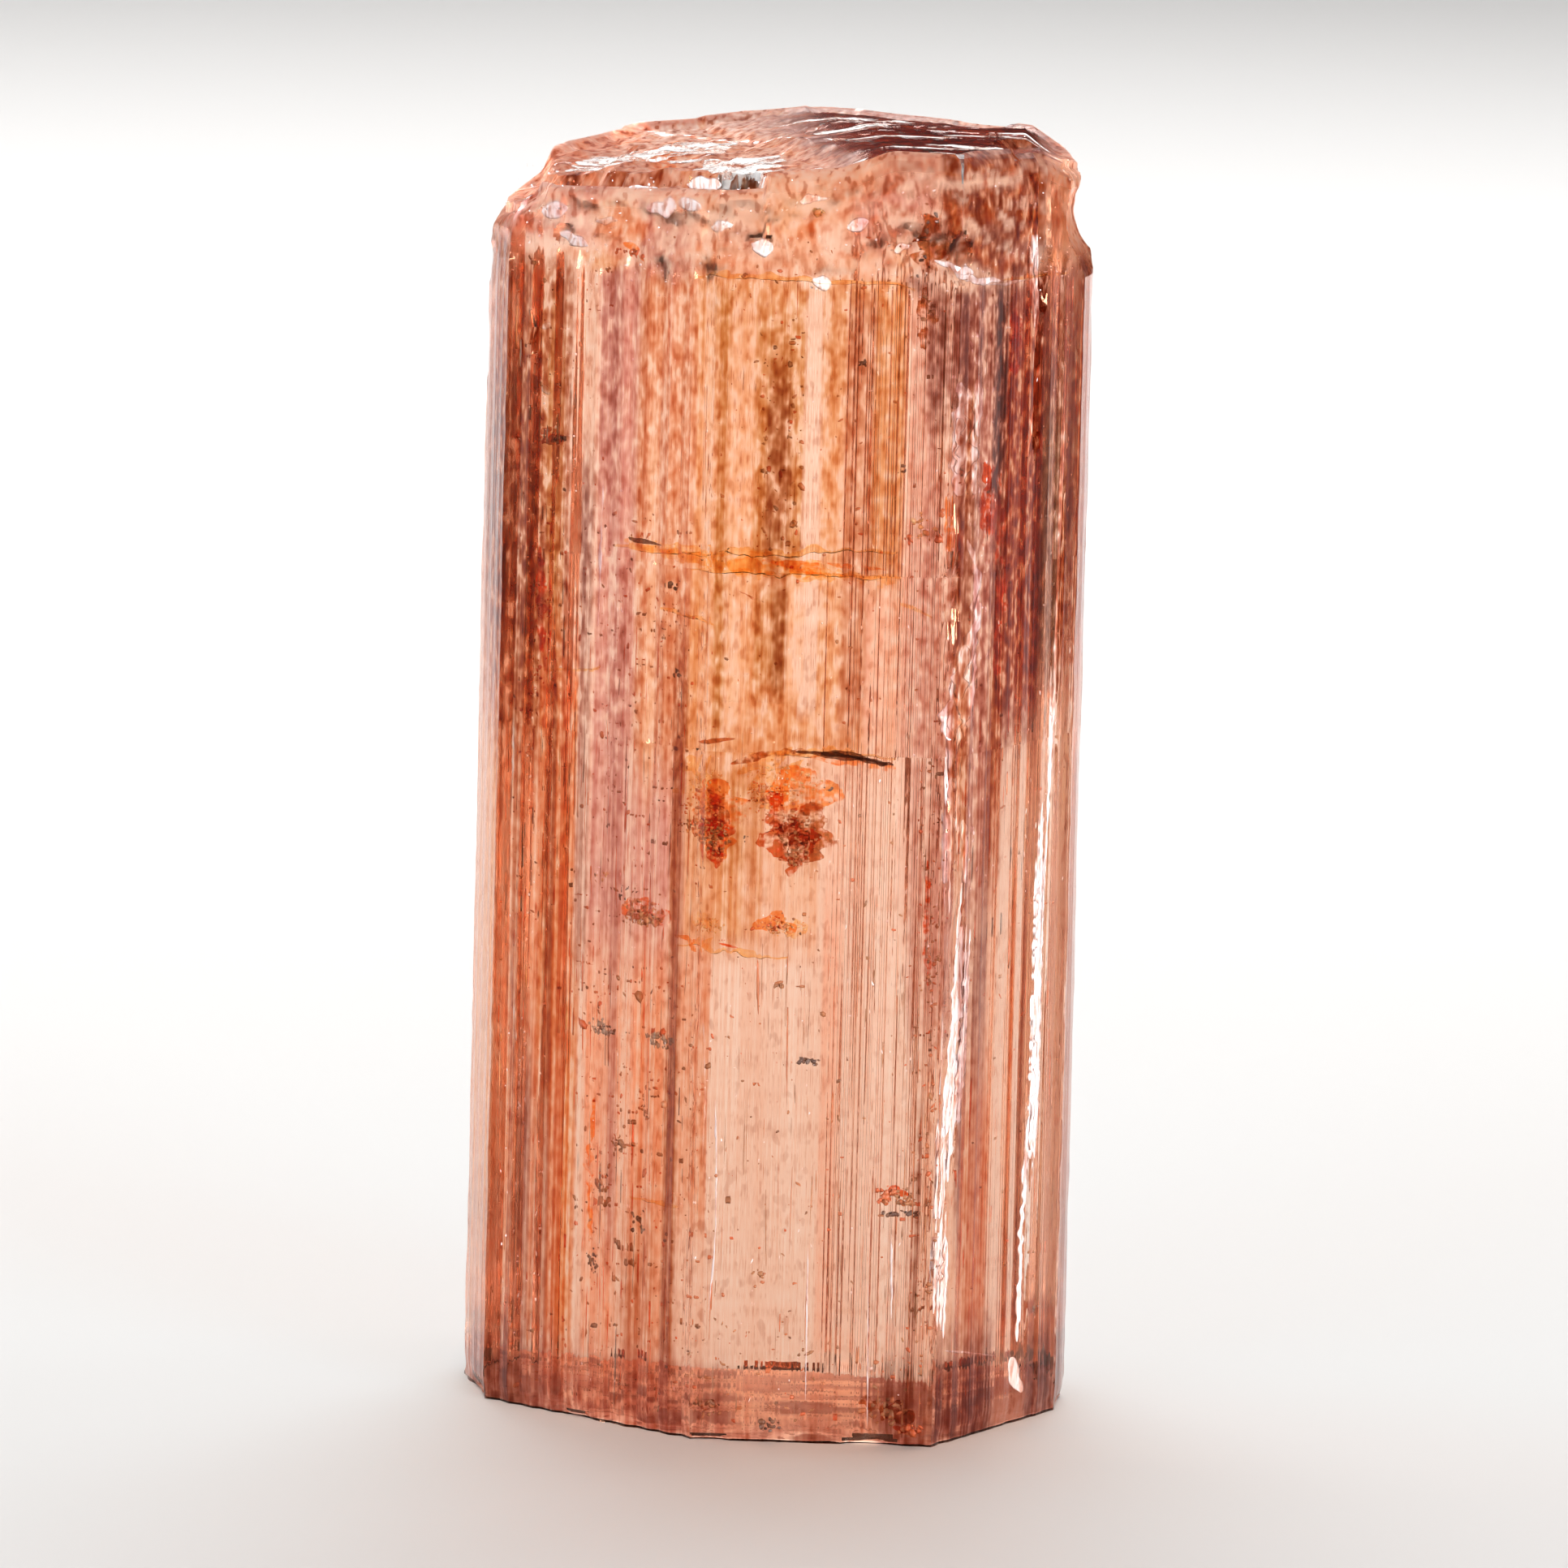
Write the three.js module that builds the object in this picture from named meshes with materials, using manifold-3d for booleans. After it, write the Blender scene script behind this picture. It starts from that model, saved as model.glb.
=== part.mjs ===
// Topaz crystal: one loose prism, broken in steps at its top and cleaved flat at its base.
// Millimetres, +Z up along the crystal's long axis, origin at the middle of the base.

import * as THREE from "three";
import { mergeVertices } from "three/addons/utils/BufferGeometryUtils.js";
import Module from "manifold-3d";

const wasm = await Module();
wasm.setup();

// Driving dimensions
const HEIGHT = 36; // highest point of the broken top
const TAPER = 0.016; // the base is this share wider than the top
const RIB_WIDTH = 0.42; // mean distance from a rib to the groove beside it
const BLANK_HEIGHT = 38; // the prism before its top is broken off
const RING_COUNT = 6; // stretches up the prism along which the grooves change depth
const CUTTER = 90; // side of a block that cuts along one plane
const COLOUR = 0xd99678; // peach pink

// Corners of the prism's cross-section at mid-height, counter-clockwise from above, front at -Y,
// each with the depth of the grooves on the face that starts there. The section is the same turned
// half round, as a topaz prism's is, so half of it is given.
const HALF_SECTION = [
  { x: 4.73, y: -6.8, groove: 0.07 }, // sharp front edge of 124 degrees
  { x: 8.22, y: -2.15, groove: 0.03 },
  { x: 8.5, y: -0.45, groove: 0.05 },
  { x: 7.85, y: 2.5, groove: 0.13 },
  { x: 1.99, y: 6.6, groove: 0.05 },
];
const SECTION = [...HALF_SECTION, ...HALF_SECTION.map(({ x, y, groove }) => ({ x: -x, y: -y, groove }))];
const RIGHT = 0;
const RIGHT_CORNER = 1;
const RIGHT_END = 2;
const BACK_RIGHT = 3;
const BACK = 4;
const BACK_LEFT = 5;
const LEFT_END = 7;
const LEFT = 8;
const FRONT = 9;

// Surfaces of the broken top, each a plane given by its height on the axis and its rise along X and Y
const PLATEAU = { height: 36.09, riseX: -0.023, riseY: -0.002 };
const CREST = { height: 35.72, riseX: 0.136, riseY: 0.011 };
const CORNER = { height: 39.8, riseX: -0.6, riseY: 0 };
const SHELF = { height: 35.5, riseX: 0.085, riseY: 0.015 };
const STEP = { height: 35.72, riseX: 0.414, riseY: 0.124 };
const LEDGE = { height: 38.94, riseX: 0.68, riseY: 0 };
const LEDGE_WALL = { height: 49.66, riseX: 2.2, riseY: 0 };

// Thin cleavage layers missing from the top: the surface each lay on, how deep its bed is below that
// surface, and its outline from above
const LAYERS = [
  {
    on: PLATEAU,
    depth: 0.14,
    outline: [[2.2, 1.4], [4.4, 0.6], [6.6, 1.5], [9.5, 0.2], [9.5, 9], [-4, 9], [-1.2, 3.4]],
  },
  {
    on: PLATEAU,
    depth: 0.28,
    outline: [[3.1, 3.9], [5.0, 2.7], [6.3, 3.2], [9.5, 2.1], [9.5, 9], [-1, 9], [0.8, 4.9]],
  },
  {
    on: PLATEAU,
    depth: 0.2,
    outline: [[5.4, -2.6], [6.3, -1.4], [7.1, -1.9], [9.5, -0.6], [9.5, -6], [6.3, -5.4]],
  },
  {
    on: SHELF,
    depth: 0.12,
    outline: [[-4.2, 9], [-5.0, 5.2], [-4.4, 2.0], [-5.3, -1.2], [-4.6, -4.2], [-5, -9], [-10, -9], [-10, 9]],
  },
  {
    on: SHELF,
    depth: 0.42,
    outline: [[-7.6, -0.6], [-6.5, -1.7], [-5.4, -1.9], [-4.5, -3.0], [-3.2, -3.2], [-2.1, -4.3], [-0.9, -4.6],
      [-0.4, -9], [-10, -9], [-10, -0.4]],
  },
];

// Scooped breaks on the prism faces: which face, how far along it, height of the middle, and the
// break's half-width, depth and half-height. One that starts a face lies over the edge there.
const SCOOPS = [
  // battered upper right corner, with a beak between two breaks
  { face: RIGHT_CORNER, along: 0.5, height: 34.6, wide: 3.0, deep: 0.42, high: 2.5 },
  { face: RIGHT_CORNER, along: 0.4, height: 33.8, wide: 2.6, deep: 0.6, high: 1.25 },
  { face: RIGHT_END, along: 0.28, height: 33.8, wide: 1.8, deep: 0.42, high: 1.15 },
  { face: RIGHT_END, along: 0.5, height: 36.0, wide: 2.2, deep: 0.65, high: 0.85 },
  // open groove down the right face
  { face: RIGHT, along: 0.65, height: 34.0, wide: 0.25, deep: 0.3, high: 2.9 },
  { face: RIGHT, along: 0.63, height: 29.6, wide: 0.2, deep: 0.22, high: 2.4 },
  { face: RIGHT, along: 0.87, height: 22.5, wide: 0.14, deep: 0.12, high: 5.6 },
  { face: RIGHT, along: 0.72, height: 6.0, wide: 0.16, deep: 0.12, high: 4.8 },
  // chipped rim along the front and left
  { face: FRONT, along: 0.46, height: 35.7, wide: 1.1, deep: 0.24, high: 0.7 },
  { face: FRONT, along: 0.165, height: 33.5, wide: 0.5, deep: 0.1, high: 0.25 },
  { face: RIGHT, along: 0, height: 33.2, wide: 0.9, deep: 0.3, high: 0.8 },
  { face: LEFT, along: 0.9, height: 35.2, wide: 0.8, deep: 0.26, high: 0.45 },
  { face: LEFT, along: 0.27, height: 33.2, wide: 0.5, deep: 0.14, high: 0.35 },
  { face: LEFT, along: 0.05, height: 34.4, wide: 0.9, deep: 0.4, high: 0.8 },
  { face: LEFT, along: 0.13, height: 30.6, wide: 0.45, deep: 0.12, high: 0.3 },
  // nicks down the left side
  { face: LEFT_END, along: 0, height: 31.9, wide: 0.7, deep: 0.13, high: 0.6 },
  { face: LEFT_END, along: 0, height: 29.4, wide: 0.6, deep: 0.09, high: 0.8 },
  { face: LEFT_END, along: 0.6, height: 0, wide: 1.0, deep: 0.14, high: 0.5 },
  // worn front edge
  { face: RIGHT, along: 0, height: 27.6, wide: 0.42, deep: 0.17, high: 2.3 },
  { face: RIGHT, along: 0, height: 24.0, wide: 0.5, deep: 0.2, high: 1.4 },
  { face: RIGHT, along: 0, height: 19.8, wide: 0.45, deep: 0.18, high: 2.9 },
  { face: RIGHT, along: 0.1, height: 13.9, wide: 0.42, deep: 0.16, high: 1.9 },
  { face: RIGHT, along: 0.06, height: 9.4, wide: 0.42, deep: 0.15, high: 2.7 },
  { face: RIGHT, along: 0, height: 4.2, wide: 0.4, deep: 0.15, high: 2.2 },
  // hidden back: broken rim and one long bruise on the back edge
  { face: BACK_LEFT, along: 0, height: 33.7, wide: 0.9, deep: 0.4, high: 1.2 },
  { face: BACK, along: 0.35, height: 36.0, wide: 1.4, deep: 0.35, high: 0.7 },
  { face: BACK_RIGHT, along: 0.4, height: 35.4, wide: 0.9, deep: 0.3, high: 0.6 },
  { face: BACK_LEFT, along: 0, height: 17.5, wide: 0.5, deep: 0.2, high: 3.1 },
  // chips along the base
  { face: FRONT, along: 0.74, height: 0, wide: 0.9, deep: 0.2, high: 0.3 },
  { face: FRONT, along: 0.08, height: 0, wide: 0.6, deep: 0.14, high: 0.2 },
  { face: LEFT, along: 0.45, height: 0, wide: 0.7, deep: 0.16, high: 0.24 },
  { face: RIGHT_CORNER, along: 0.5, height: 0, wide: 0.8, deep: 0.12, high: 0.3 },
  { face: BACK_RIGHT, along: 0, height: 0, wide: 0.8, deep: 0.3, high: 0.5 },
  { face: BACK, along: 0.2, height: 0, wide: 1.1, deep: 0.25, high: 0.35 },
];
const SCOOP_LIFT = 0.5; // share of a scoop's own radius by which its middle stands off the face

// A fixed pseudo-random number from 0 to 1 for a whole number
function chance(seed) {
  const value = Math.sin(seed * 12.9898) * 43758.5453;
  return value - Math.floor(value);
}

function shrink(z) {
  return 1 + TAPER * (0.5 - z / HEIGHT);
}

// One prism face at mid-height: where it starts, its run to the next corner and its outward side
function prismFace(number) {
  const start = SECTION[number];
  const end = SECTION[(number + 1) % SECTION.length];
  const run = new THREE.Vector2(end.x - start.x, end.y - start.y);
  return { start, run, outward: new THREE.Vector2(run.y, -run.x).normalize() };
}

// Points round the section: each prism face is broken into ribs and the grooves between them
function ribbedSection() {
  const points = [];
  SECTION.forEach(({ groove }, number) => {
    const { start, run, outward } = prismFace(number);
    const count = 2 * Math.max(1, Math.round(run.length() / RIB_WIDTH / 2));
    for (let k = 0; k < count; k += 1) {
      const seed = 40 * number + k;
      const shift = k === 0 ? 0 : 0.7 * (chance(seed + 0.5) - 0.5);
      const along = (k + shift) / count;
      const sink = k % 2 ? groove * (0.3 + 0.7 * chance(seed)) : 0;
      points.push({ x: start.x + along * run.x, y: start.y + along * run.y, outward, sink });
    }
  });
  return points;
}

// The whole prism before it was broken: rings of the ribbed section, shrinking with height
function prismBlank() {
  const section = ribbedSection();
  const count = section.length;
  const positions = [];
  for (let ring = 0; ring <= RING_COUNT; ring += 1) {
    const z = (ring / RING_COUNT) * BLANK_HEIGHT;
    section.forEach(({ x, y, outward, sink }, column) => {
      const depth = sink * (0.6 + 0.8 * chance(1000 + 9 * column + ring));
      const scale = shrink(z);
      positions.push(scale * (x - outward.x * depth), scale * (y - outward.y * depth), z);
    });
  }
  const index = [];
  for (let ring = 0; ring < RING_COUNT; ring += 1) {
    for (let column = 0; column < count; column += 1) {
      const a = ring * count + column;
      const b = ring * count + ((column + 1) % count);
      index.push(a, b, b + count, a, b + count, a + count);
    }
  }
  const bottom = positions.length / 3;
  const last = RING_COUNT * count;
  positions.push(0, 0, 0, 0, 0, BLANK_HEIGHT);
  for (let column = 0; column < count; column += 1) {
    const next = (column + 1) % count;
    index.push(bottom, next, column);
    index.push(bottom + 1, last + column, last + next);
  }
  const geometry = new THREE.BufferGeometry();
  geometry.setAttribute("position", new THREE.Float32BufferAttribute(positions, 3));
  geometry.setIndex(index);
  return geometry;
}

// A closed geometry as a solid that can be joined and cut
function solid(geometry) {
  const bare = geometry.clone();
  bare.deleteAttribute("normal");
  bare.deleteAttribute("uv");
  const merged = mergeVertices(bare, 1e-4);
  return new wasm.Manifold(
    new wasm.Mesh({
      numProp: 3,
      vertProperties: merged.attributes.position.array,
      triVerts: new Uint32Array(merged.index.array),
    }),
  );
}

// A block whose underside lies on a sloping plane
function above({ height, riseX, riseY }) {
  const up = new THREE.Vector3(-riseX, -riseY, 1).normalize();
  const turn = new THREE.Quaternion().setFromUnitVectors(new THREE.Vector3(0, 0, 1), up);
  const block = new THREE.BoxGeometry(CUTTER, CUTTER, CUTTER);
  block.translate(0, 0, CUTTER / 2);
  block.applyQuaternion(turn);
  block.translate(0, 0, height);
  return solid(block);
}

// What one missing layer leaves open: its outline, from its own bed upwards
function layer({ on, depth, outline }) {
  const shape = new THREE.Shape(outline.map(([x, y]) => new THREE.Vector2(x, y)));
  const column = new THREE.ExtrudeGeometry(shape, { depth: BLANK_HEIGHT, bevelEnabled: false });
  return solid(column).intersect(above({ ...on, height: on.height - depth }));
}

// A faceted pebble that takes one scoop out of a face or an edge
function scoop({ face, along, height, wide, deep, high }, number) {
  const { start, run, outward } = prismFace(face);
  const side = outward.clone();
  if (along === 0) {
    side.add(prismFace((face + SECTION.length - 1) % SECTION.length).outward).normalize();
  }
  const thick = deep / (1 - SCOOP_LIFT);
  const spread = 1 / Math.sqrt(1 - SCOOP_LIFT ** 2);
  const pebble = new THREE.IcosahedronGeometry(1, 1);
  pebble.rotateX(number);
  pebble.rotateY(2 * number);
  pebble.scale(wide * spread, thick, high * spread);
  pebble.rotateZ(Math.atan2(side.x, -side.y));
  pebble.translate(
    shrink(height) * (start.x + along * run.x) + SCOOP_LIFT * thick * side.x,
    shrink(height) * (start.y + along * run.y) + SCOOP_LIFT * thick * side.y,
    height,
  );
  return solid(pebble);
}

function brokenCrystal() {
  let crystal = solid(prismBlank());
  [PLATEAU, CREST, CORNER].forEach((plane) => {
    crystal = crystal.subtract(above(plane));
  });
  crystal = crystal.subtract(above(SHELF).intersect(above(STEP)));
  crystal = crystal.subtract(above(LEDGE).intersect(above(LEDGE_WALL)));
  LAYERS.forEach((missing) => {
    crystal = crystal.subtract(layer(missing));
  });
  SCOOPS.forEach((missing, number) => {
    crystal = crystal.subtract(scoop(missing, number));
  });
  return crystal;
}

// The solid's triangles as a geometry with flat facets
function facets(body) {
  const { numProp, numVert, vertProperties, triVerts } = body.getMesh();
  const positions = new Float32Array(numVert * 3);
  for (let i = 0; i < numVert; i += 1) {
    positions.set(vertProperties.subarray(i * numProp, i * numProp + 3), i * 3);
  }
  const geometry = new THREE.BufferGeometry();
  geometry.setAttribute("position", new THREE.BufferAttribute(positions, 3));
  geometry.setIndex(new THREE.BufferAttribute(triVerts, 1));
  return geometry;
}

const material = new THREE.MeshStandardMaterial({
  color: COLOUR,
  roughness: 0.12,
  metalness: 0,
  flatShading: true,
});

const crystal = new THREE.Mesh(facets(brokenCrystal()), material);
crystal.name = "topaz_crystal";

const specimen = new THREE.Group();
specimen.add(crystal);

export default specimen;
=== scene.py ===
"""Looks of a loose topaz crystal: a clear striated prism with a broken stepped top, and the flaws in it.

Lengths are in millimetres until a mesh is made, which is in metres. The crystal stands on Z = 0 with its
long axis up, and -Y faces the camera.
"""

import itertools
import math

import bpy
import numpy as np
from mathutils import Matrix, Vector


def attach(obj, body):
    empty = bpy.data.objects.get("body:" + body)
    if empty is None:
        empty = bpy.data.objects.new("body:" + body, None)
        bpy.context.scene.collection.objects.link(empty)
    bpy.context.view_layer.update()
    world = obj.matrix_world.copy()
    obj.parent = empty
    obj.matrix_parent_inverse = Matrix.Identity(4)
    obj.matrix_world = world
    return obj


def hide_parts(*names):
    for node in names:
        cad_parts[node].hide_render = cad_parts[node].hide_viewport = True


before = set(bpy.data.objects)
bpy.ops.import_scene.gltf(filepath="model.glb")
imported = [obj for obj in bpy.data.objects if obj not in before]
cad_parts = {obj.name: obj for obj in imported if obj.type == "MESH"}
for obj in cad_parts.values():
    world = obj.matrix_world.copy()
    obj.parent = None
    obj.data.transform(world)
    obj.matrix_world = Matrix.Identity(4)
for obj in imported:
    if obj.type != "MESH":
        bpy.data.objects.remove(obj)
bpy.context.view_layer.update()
MM = 0.001
NODE = "topaz_crystal"

bl_info = {
    "name": "Topaz Crystal",
    "version": (1, 0, 0),
    "blender": (4, 5, 0),
    "location": "3D View > Sidebar > Topaz",
    "description": "Builds a clear striated topaz crystal with its cracks, stains and veils",
    "category": "Add Mesh",
}

# The prism: corners of its cross-section at mid-height, counter-clockwise from above, with the depth of
# the grooves on the face that starts there. The other half is the same turned half round.
HALF_SECTION = (
    (4.73, -6.80, 0.07),
    (8.22, -2.15, 0.03),
    (8.50, -0.45, 0.05),
    (7.85, 2.50, 0.13),
    (1.99, 6.60, 0.05),
)
SECTION = np.array([(x, y) for x, y, _ in HALF_SECTION] + [(-x, -y) for x, y, _ in HALF_SECTION])
GROOVES = 2 * [groove for _, _, groove in HALF_SECTION]
RIGHT, RIGHT_CORNER, RIGHT_END, BACK_RIGHT, BACK = 0, 1, 2, 3, 4
BACK_LEFT, LEFT_END, LEFT, FRONT = 5, 7, 8, 9
HEIGHT = 36.0
TAPER = 0.016
RIB_WIDTH = 0.42
BLANK_HEIGHT = 38.0
RING_COUNT = 6

# Surfaces of the broken top: height on the axis, rise along X, rise along Y
PLATEAU = (36.09, -0.023, -0.002)
CREST = (35.72, 0.136, 0.011)
CORNER = (39.8, -0.6, 0.0)
SHELF = (35.5, 0.085, 0.015)
STEP = (35.72, 0.414, 0.124)
LEDGE = (38.94, 0.68, 0.0)
LEDGE_WALL = (49.66, 2.2, 0.0)

# Cleavage layers missing from the top: the surface each lay on, depth of its bed, outline from above
LAYERS = (
    (PLATEAU, 0.14, ((2.2, 1.4), (4.4, 0.6), (6.6, 1.5), (9.5, 0.2), (9.5, 9), (-4, 9), (-1.2, 3.4))),
    (PLATEAU, 0.28, ((3.1, 3.9), (5.0, 2.7), (6.3, 3.2), (9.5, 2.1), (9.5, 9), (-1, 9), (0.8, 4.9))),
    (PLATEAU, 0.20, ((5.4, -2.6), (6.3, -1.4), (7.1, -1.9), (9.5, -0.6), (9.5, -6), (6.3, -5.4))),
    (
        SHELF,
        0.12,
        ((-4.2, 9), (-5.0, 5.2), (-4.4, 2.0), (-5.3, -1.2), (-4.6, -4.2), (-5, -9), (-10, -9), (-10, 9)),
    ),
    (
        SHELF,
        0.42,
        (
            (-7.6, -0.6), (-6.5, -1.7), (-5.4, -1.9), (-4.5, -3.0), (-3.2, -3.2),
            (-2.1, -4.3), (-0.9, -4.6), (-0.4, -9), (-10, -9), (-10, -0.4),
        ),
    ),
)

# Scooped breaks: face, share of the way along it, height, half-width, depth, half-height. One at 0 along
# lies over the edge where its face starts.
SCOOPS = (
    (RIGHT_CORNER, 0.5, 34.6, 3.0, 0.42, 2.5),
    (RIGHT_CORNER, 0.4, 33.8, 2.6, 0.6, 1.25),
    (RIGHT_END, 0.28, 33.8, 1.8, 0.42, 1.15),
    (RIGHT_END, 0.5, 36.0, 2.2, 0.65, 0.85),
    (RIGHT, 0.65, 34.0, 0.25, 0.3, 2.9),
    (RIGHT, 0.63, 29.6, 0.2, 0.22, 2.4),
    (RIGHT, 0.87, 22.5, 0.14, 0.12, 5.6),
    (RIGHT, 0.72, 6.0, 0.16, 0.12, 4.8),
    (FRONT, 0.46, 35.7, 1.1, 0.24, 0.7),
    (FRONT, 0.165, 33.5, 0.5, 0.1, 0.25),
    (RIGHT, 0.0, 33.2, 0.9, 0.3, 0.8),
    (LEFT, 0.9, 35.2, 0.8, 0.26, 0.45),
    (LEFT, 0.27, 33.2, 0.5, 0.14, 0.35),
    (LEFT, 0.05, 34.4, 0.9, 0.4, 0.8),
    (LEFT, 0.13, 30.6, 0.45, 0.12, 0.3),
    (LEFT_END, 0.0, 31.9, 0.7, 0.13, 0.6),
    (LEFT_END, 0.0, 29.4, 0.6, 0.09, 0.8),
    (LEFT_END, 0.6, 0.0, 1.0, 0.14, 0.5),
    (RIGHT, 0.0, 27.6, 0.42, 0.17, 2.3),
    (RIGHT, 0.0, 24.0, 0.5, 0.2, 1.4),
    (RIGHT, 0.0, 19.8, 0.45, 0.18, 2.9),
    (RIGHT, 0.1, 13.9, 0.42, 0.16, 1.9),
    (RIGHT, 0.06, 9.4, 0.42, 0.15, 2.7),
    (RIGHT, 0.0, 4.2, 0.4, 0.15, 2.2),
    (BACK_LEFT, 0.0, 33.7, 0.9, 0.4, 1.2),
    (BACK, 0.35, 36.0, 1.4, 0.35, 0.7),
    (BACK_RIGHT, 0.4, 35.4, 0.9, 0.3, 0.6),
    (BACK_LEFT, 0.0, 17.5, 0.5, 0.2, 3.1),
    (FRONT, 0.74, 0.0, 0.9, 0.2, 0.3),
    (FRONT, 0.08, 0.0, 0.6, 0.14, 0.2),
    (LEFT, 0.45, 0.0, 0.7, 0.16, 0.24),
    (RIGHT_CORNER, 0.5, 0.0, 0.8, 0.12, 0.3),
    (BACK_RIGHT, 0.0, 0.0, 0.8, 0.3, 0.5),
    (BACK, 0.2, 0.0, 1.1, 0.25, 0.35),
)
SCOOP_LIFT = 0.5

# Heights of the level cleavage planes at which the striations change
CLEAVAGES = (32.5, 24.4, 19.4)
BASE_CLEARANCE = 0.03

# The side's grid: dense rows low down, even rows, then rows that crowd towards the broken rim
LOW_ROWS = 8
LOW_ROWS_END = 1.2
EVEN_ROWS = 61
EVEN_ROWS_END = 31.0
CRACK_ROWS_APART = 0.03
RIM_REACH = 2.5
RIM_GUESS = 35.0
RIM_PASSES = 4
TOP_CENTRE = (0.2, 0.0)
BASE_RINGS = np.array([0.93, 0.6, 0.3])
FRONT_GROOVE_SHARE = 0.5
FACE_ROUGHNESS = np.array(2 * [0.6, 0.7, 0.8, 1.0, 0.5])


# Random numbers and noise


def chance(seed):
    """A fixed pseudo-random number from 0 to 1 for each seed: the fraction of a large sine."""
    value = np.sin(np.asarray(seed, float) * 12.9898) * 43758.5453
    return value - np.floor(value)


STRIDES = np.array([1.0, 57.0, 113.0])


def spread(*axes):
    """Places from one array or number to each axis."""
    return np.stack(np.broadcast_arrays(*axes), axis=-1)


def lattice(places, seed=0.0):
    """Smooth noise from 0 to 1: a random number at each corner of a unit lattice, blended by an S-curve."""
    size = places.shape[-1]
    cell = np.floor(places)
    part = places - cell
    part = part * part * (3 - 2 * part)
    total = np.zeros(places.shape[:-1])
    for corner in itertools.product((0, 1), repeat=size):
        weight = np.prod(np.where(corner, part, 1 - part), axis=-1)
        total += weight * chance((cell + corner) @ STRIDES[:size] + seed)
    return total


def scallops(places, seed=0.0):
    """Distance to the nearest of the points strewn one to a unit cell, from 0 at a point to 1 at most."""
    cell = np.floor(places)
    nearest = np.full(places.shape[:-1], 9.0)
    for step in itertools.product((-1, 0, 1), repeat=3):
        corner = cell + step
        key = corner @ STRIDES + seed
        spot = corner + np.stack([chance(key), chance(key + 0.37), chance(key + 0.71)], axis=-1)
        nearest = np.minimum(nearest, np.linalg.norm(places - spot, axis=-1))
    return np.minimum(nearest, 1.0)


def hollows(places, sizes, seed):
    """Round hollows from 0 to 1 deep, one to each cell of these sizes: 1 less the distance squared."""
    return 1 - scallops(places / np.array(sizes), seed) ** 2


def smooth(low, high, value):
    """An S-curve from 0 at low to 1 at high."""
    part = np.clip((value - low) / (high - low), 0, 1)
    return part * part * (3 - 2 * part)


# The prism's shape


def prism_face(number):
    """Start, run and outward side of one prism face at mid-height."""
    start = SECTION[number]
    run = SECTION[(number + 1) % len(SECTION)] - start
    outward = np.array([run[1], -run[0]]) / np.hypot(*run)
    return start, run, outward


def shrink(z):
    """Scale of the section at a height: 1 half way up, less above."""
    return 1 + TAPER * (0.5 - z / HEIGHT)


def ribbed_section(between):
    """Columns round the section: each face is broken into ribs and grooves, with `between` columns to each.

    Gives each column's place, outward side, face number, share along the face, and the groove depths of
    the rib points before and after it with its share of the way between them.
    """
    ribs = []
    for number, groove in enumerate(GROOVES):
        start, run, outward = prism_face(number)
        count = 2 * max(1, round(np.hypot(*run) / RIB_WIDTH / 2))
        k = np.arange(count)
        seed = 40 * number + k
        shift = np.where(k == 0, 0, 0.7 * (chance(seed + 0.5) - 0.5))
        along = (k + shift) / count
        sink = np.where(k % 2 == 1, groove * (0.3 + 0.7 * chance(seed)), 0)
        ribs.append(
            np.column_stack(
                [start + along[:, None] * run, np.tile(outward, (count, 1)), along, sink, 0 * k + number]
            )
        )
    ribs = np.concatenate(ribs)
    following = np.roll(ribs, -1, axis=0)
    part = np.tile(np.arange(between) / between, len(ribs))
    here = np.repeat(ribs, between, axis=0)
    there = np.repeat(following, between, axis=0)
    place = here[:, :2] + part[:, None] * (there[:, :2] - here[:, :2])
    rib = np.repeat(np.arange(len(ribs)), between)
    end = np.where(there[:, 4] > 0, there[:, 4], 1.0)
    share = here[:, 4] + part * (end - here[:, 4])
    return place, here[:, 2:4], here[:, 6].astype(int), share, rib, part, ribs[:, 5]


def groove_depth(sinks, rib, part, z):
    """Depth of the grooves at each column and height, blended between rings and between rib points."""
    ring = np.clip(z / BLANK_HEIGHT * RING_COUNT, 0, RING_COUNT - 1e-6)
    lower = np.floor(ring)

    def at(number, level):
        return sinks[number] * (0.6 + 0.8 * chance(1000 + 9 * number + level))

    def column(number):
        return at(number, lower) + (ring - lower) * (at(number, lower + 1) - at(number, lower))

    following = (rib + 1) % len(sinks)
    return column(rib) + part * (column(following) - column(rib))


def plane(surface, x, y):
    """Height of a tilted surface: its height on the axis and a rise along X and Y."""
    height, rise_x, rise_y = surface
    return height + rise_x * x + rise_y * y


def inside(outline, x, y):
    """True where a point lies in an outline: a ray from it crosses the sides an odd number of times."""
    found = np.zeros(np.shape(x), bool)
    for (ax, ay), (bx, by) in zip(outline, outline[1:] + outline[:1]):
        if ay == by:
            continue
        crosses = (ay > y) != (by > y)
        found ^= crosses & (x < ax + (y - ay) / (by - ay) * (bx - ax))
    return found


def broken_top(x, y):
    """Height of the broken top: the lowest of its planes, with each missing layer taken off."""
    top = np.minimum(plane(PLATEAU, x, y), plane(CREST, x, y))
    top = np.minimum(top, plane(CORNER, x, y))
    top = np.minimum(top, np.maximum(plane(SHELF, x, y), plane(STEP, x, y)))
    top = np.minimum(top, np.maximum(plane(LEDGE, x, y), plane(LEDGE_WALL, x, y)))
    for surface, depth, outline in LAYERS:
        bed = plane(surface, x, y) - depth
        top = np.where(inside(outline, x, y), np.minimum(top, bed), top)
    return top


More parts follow.
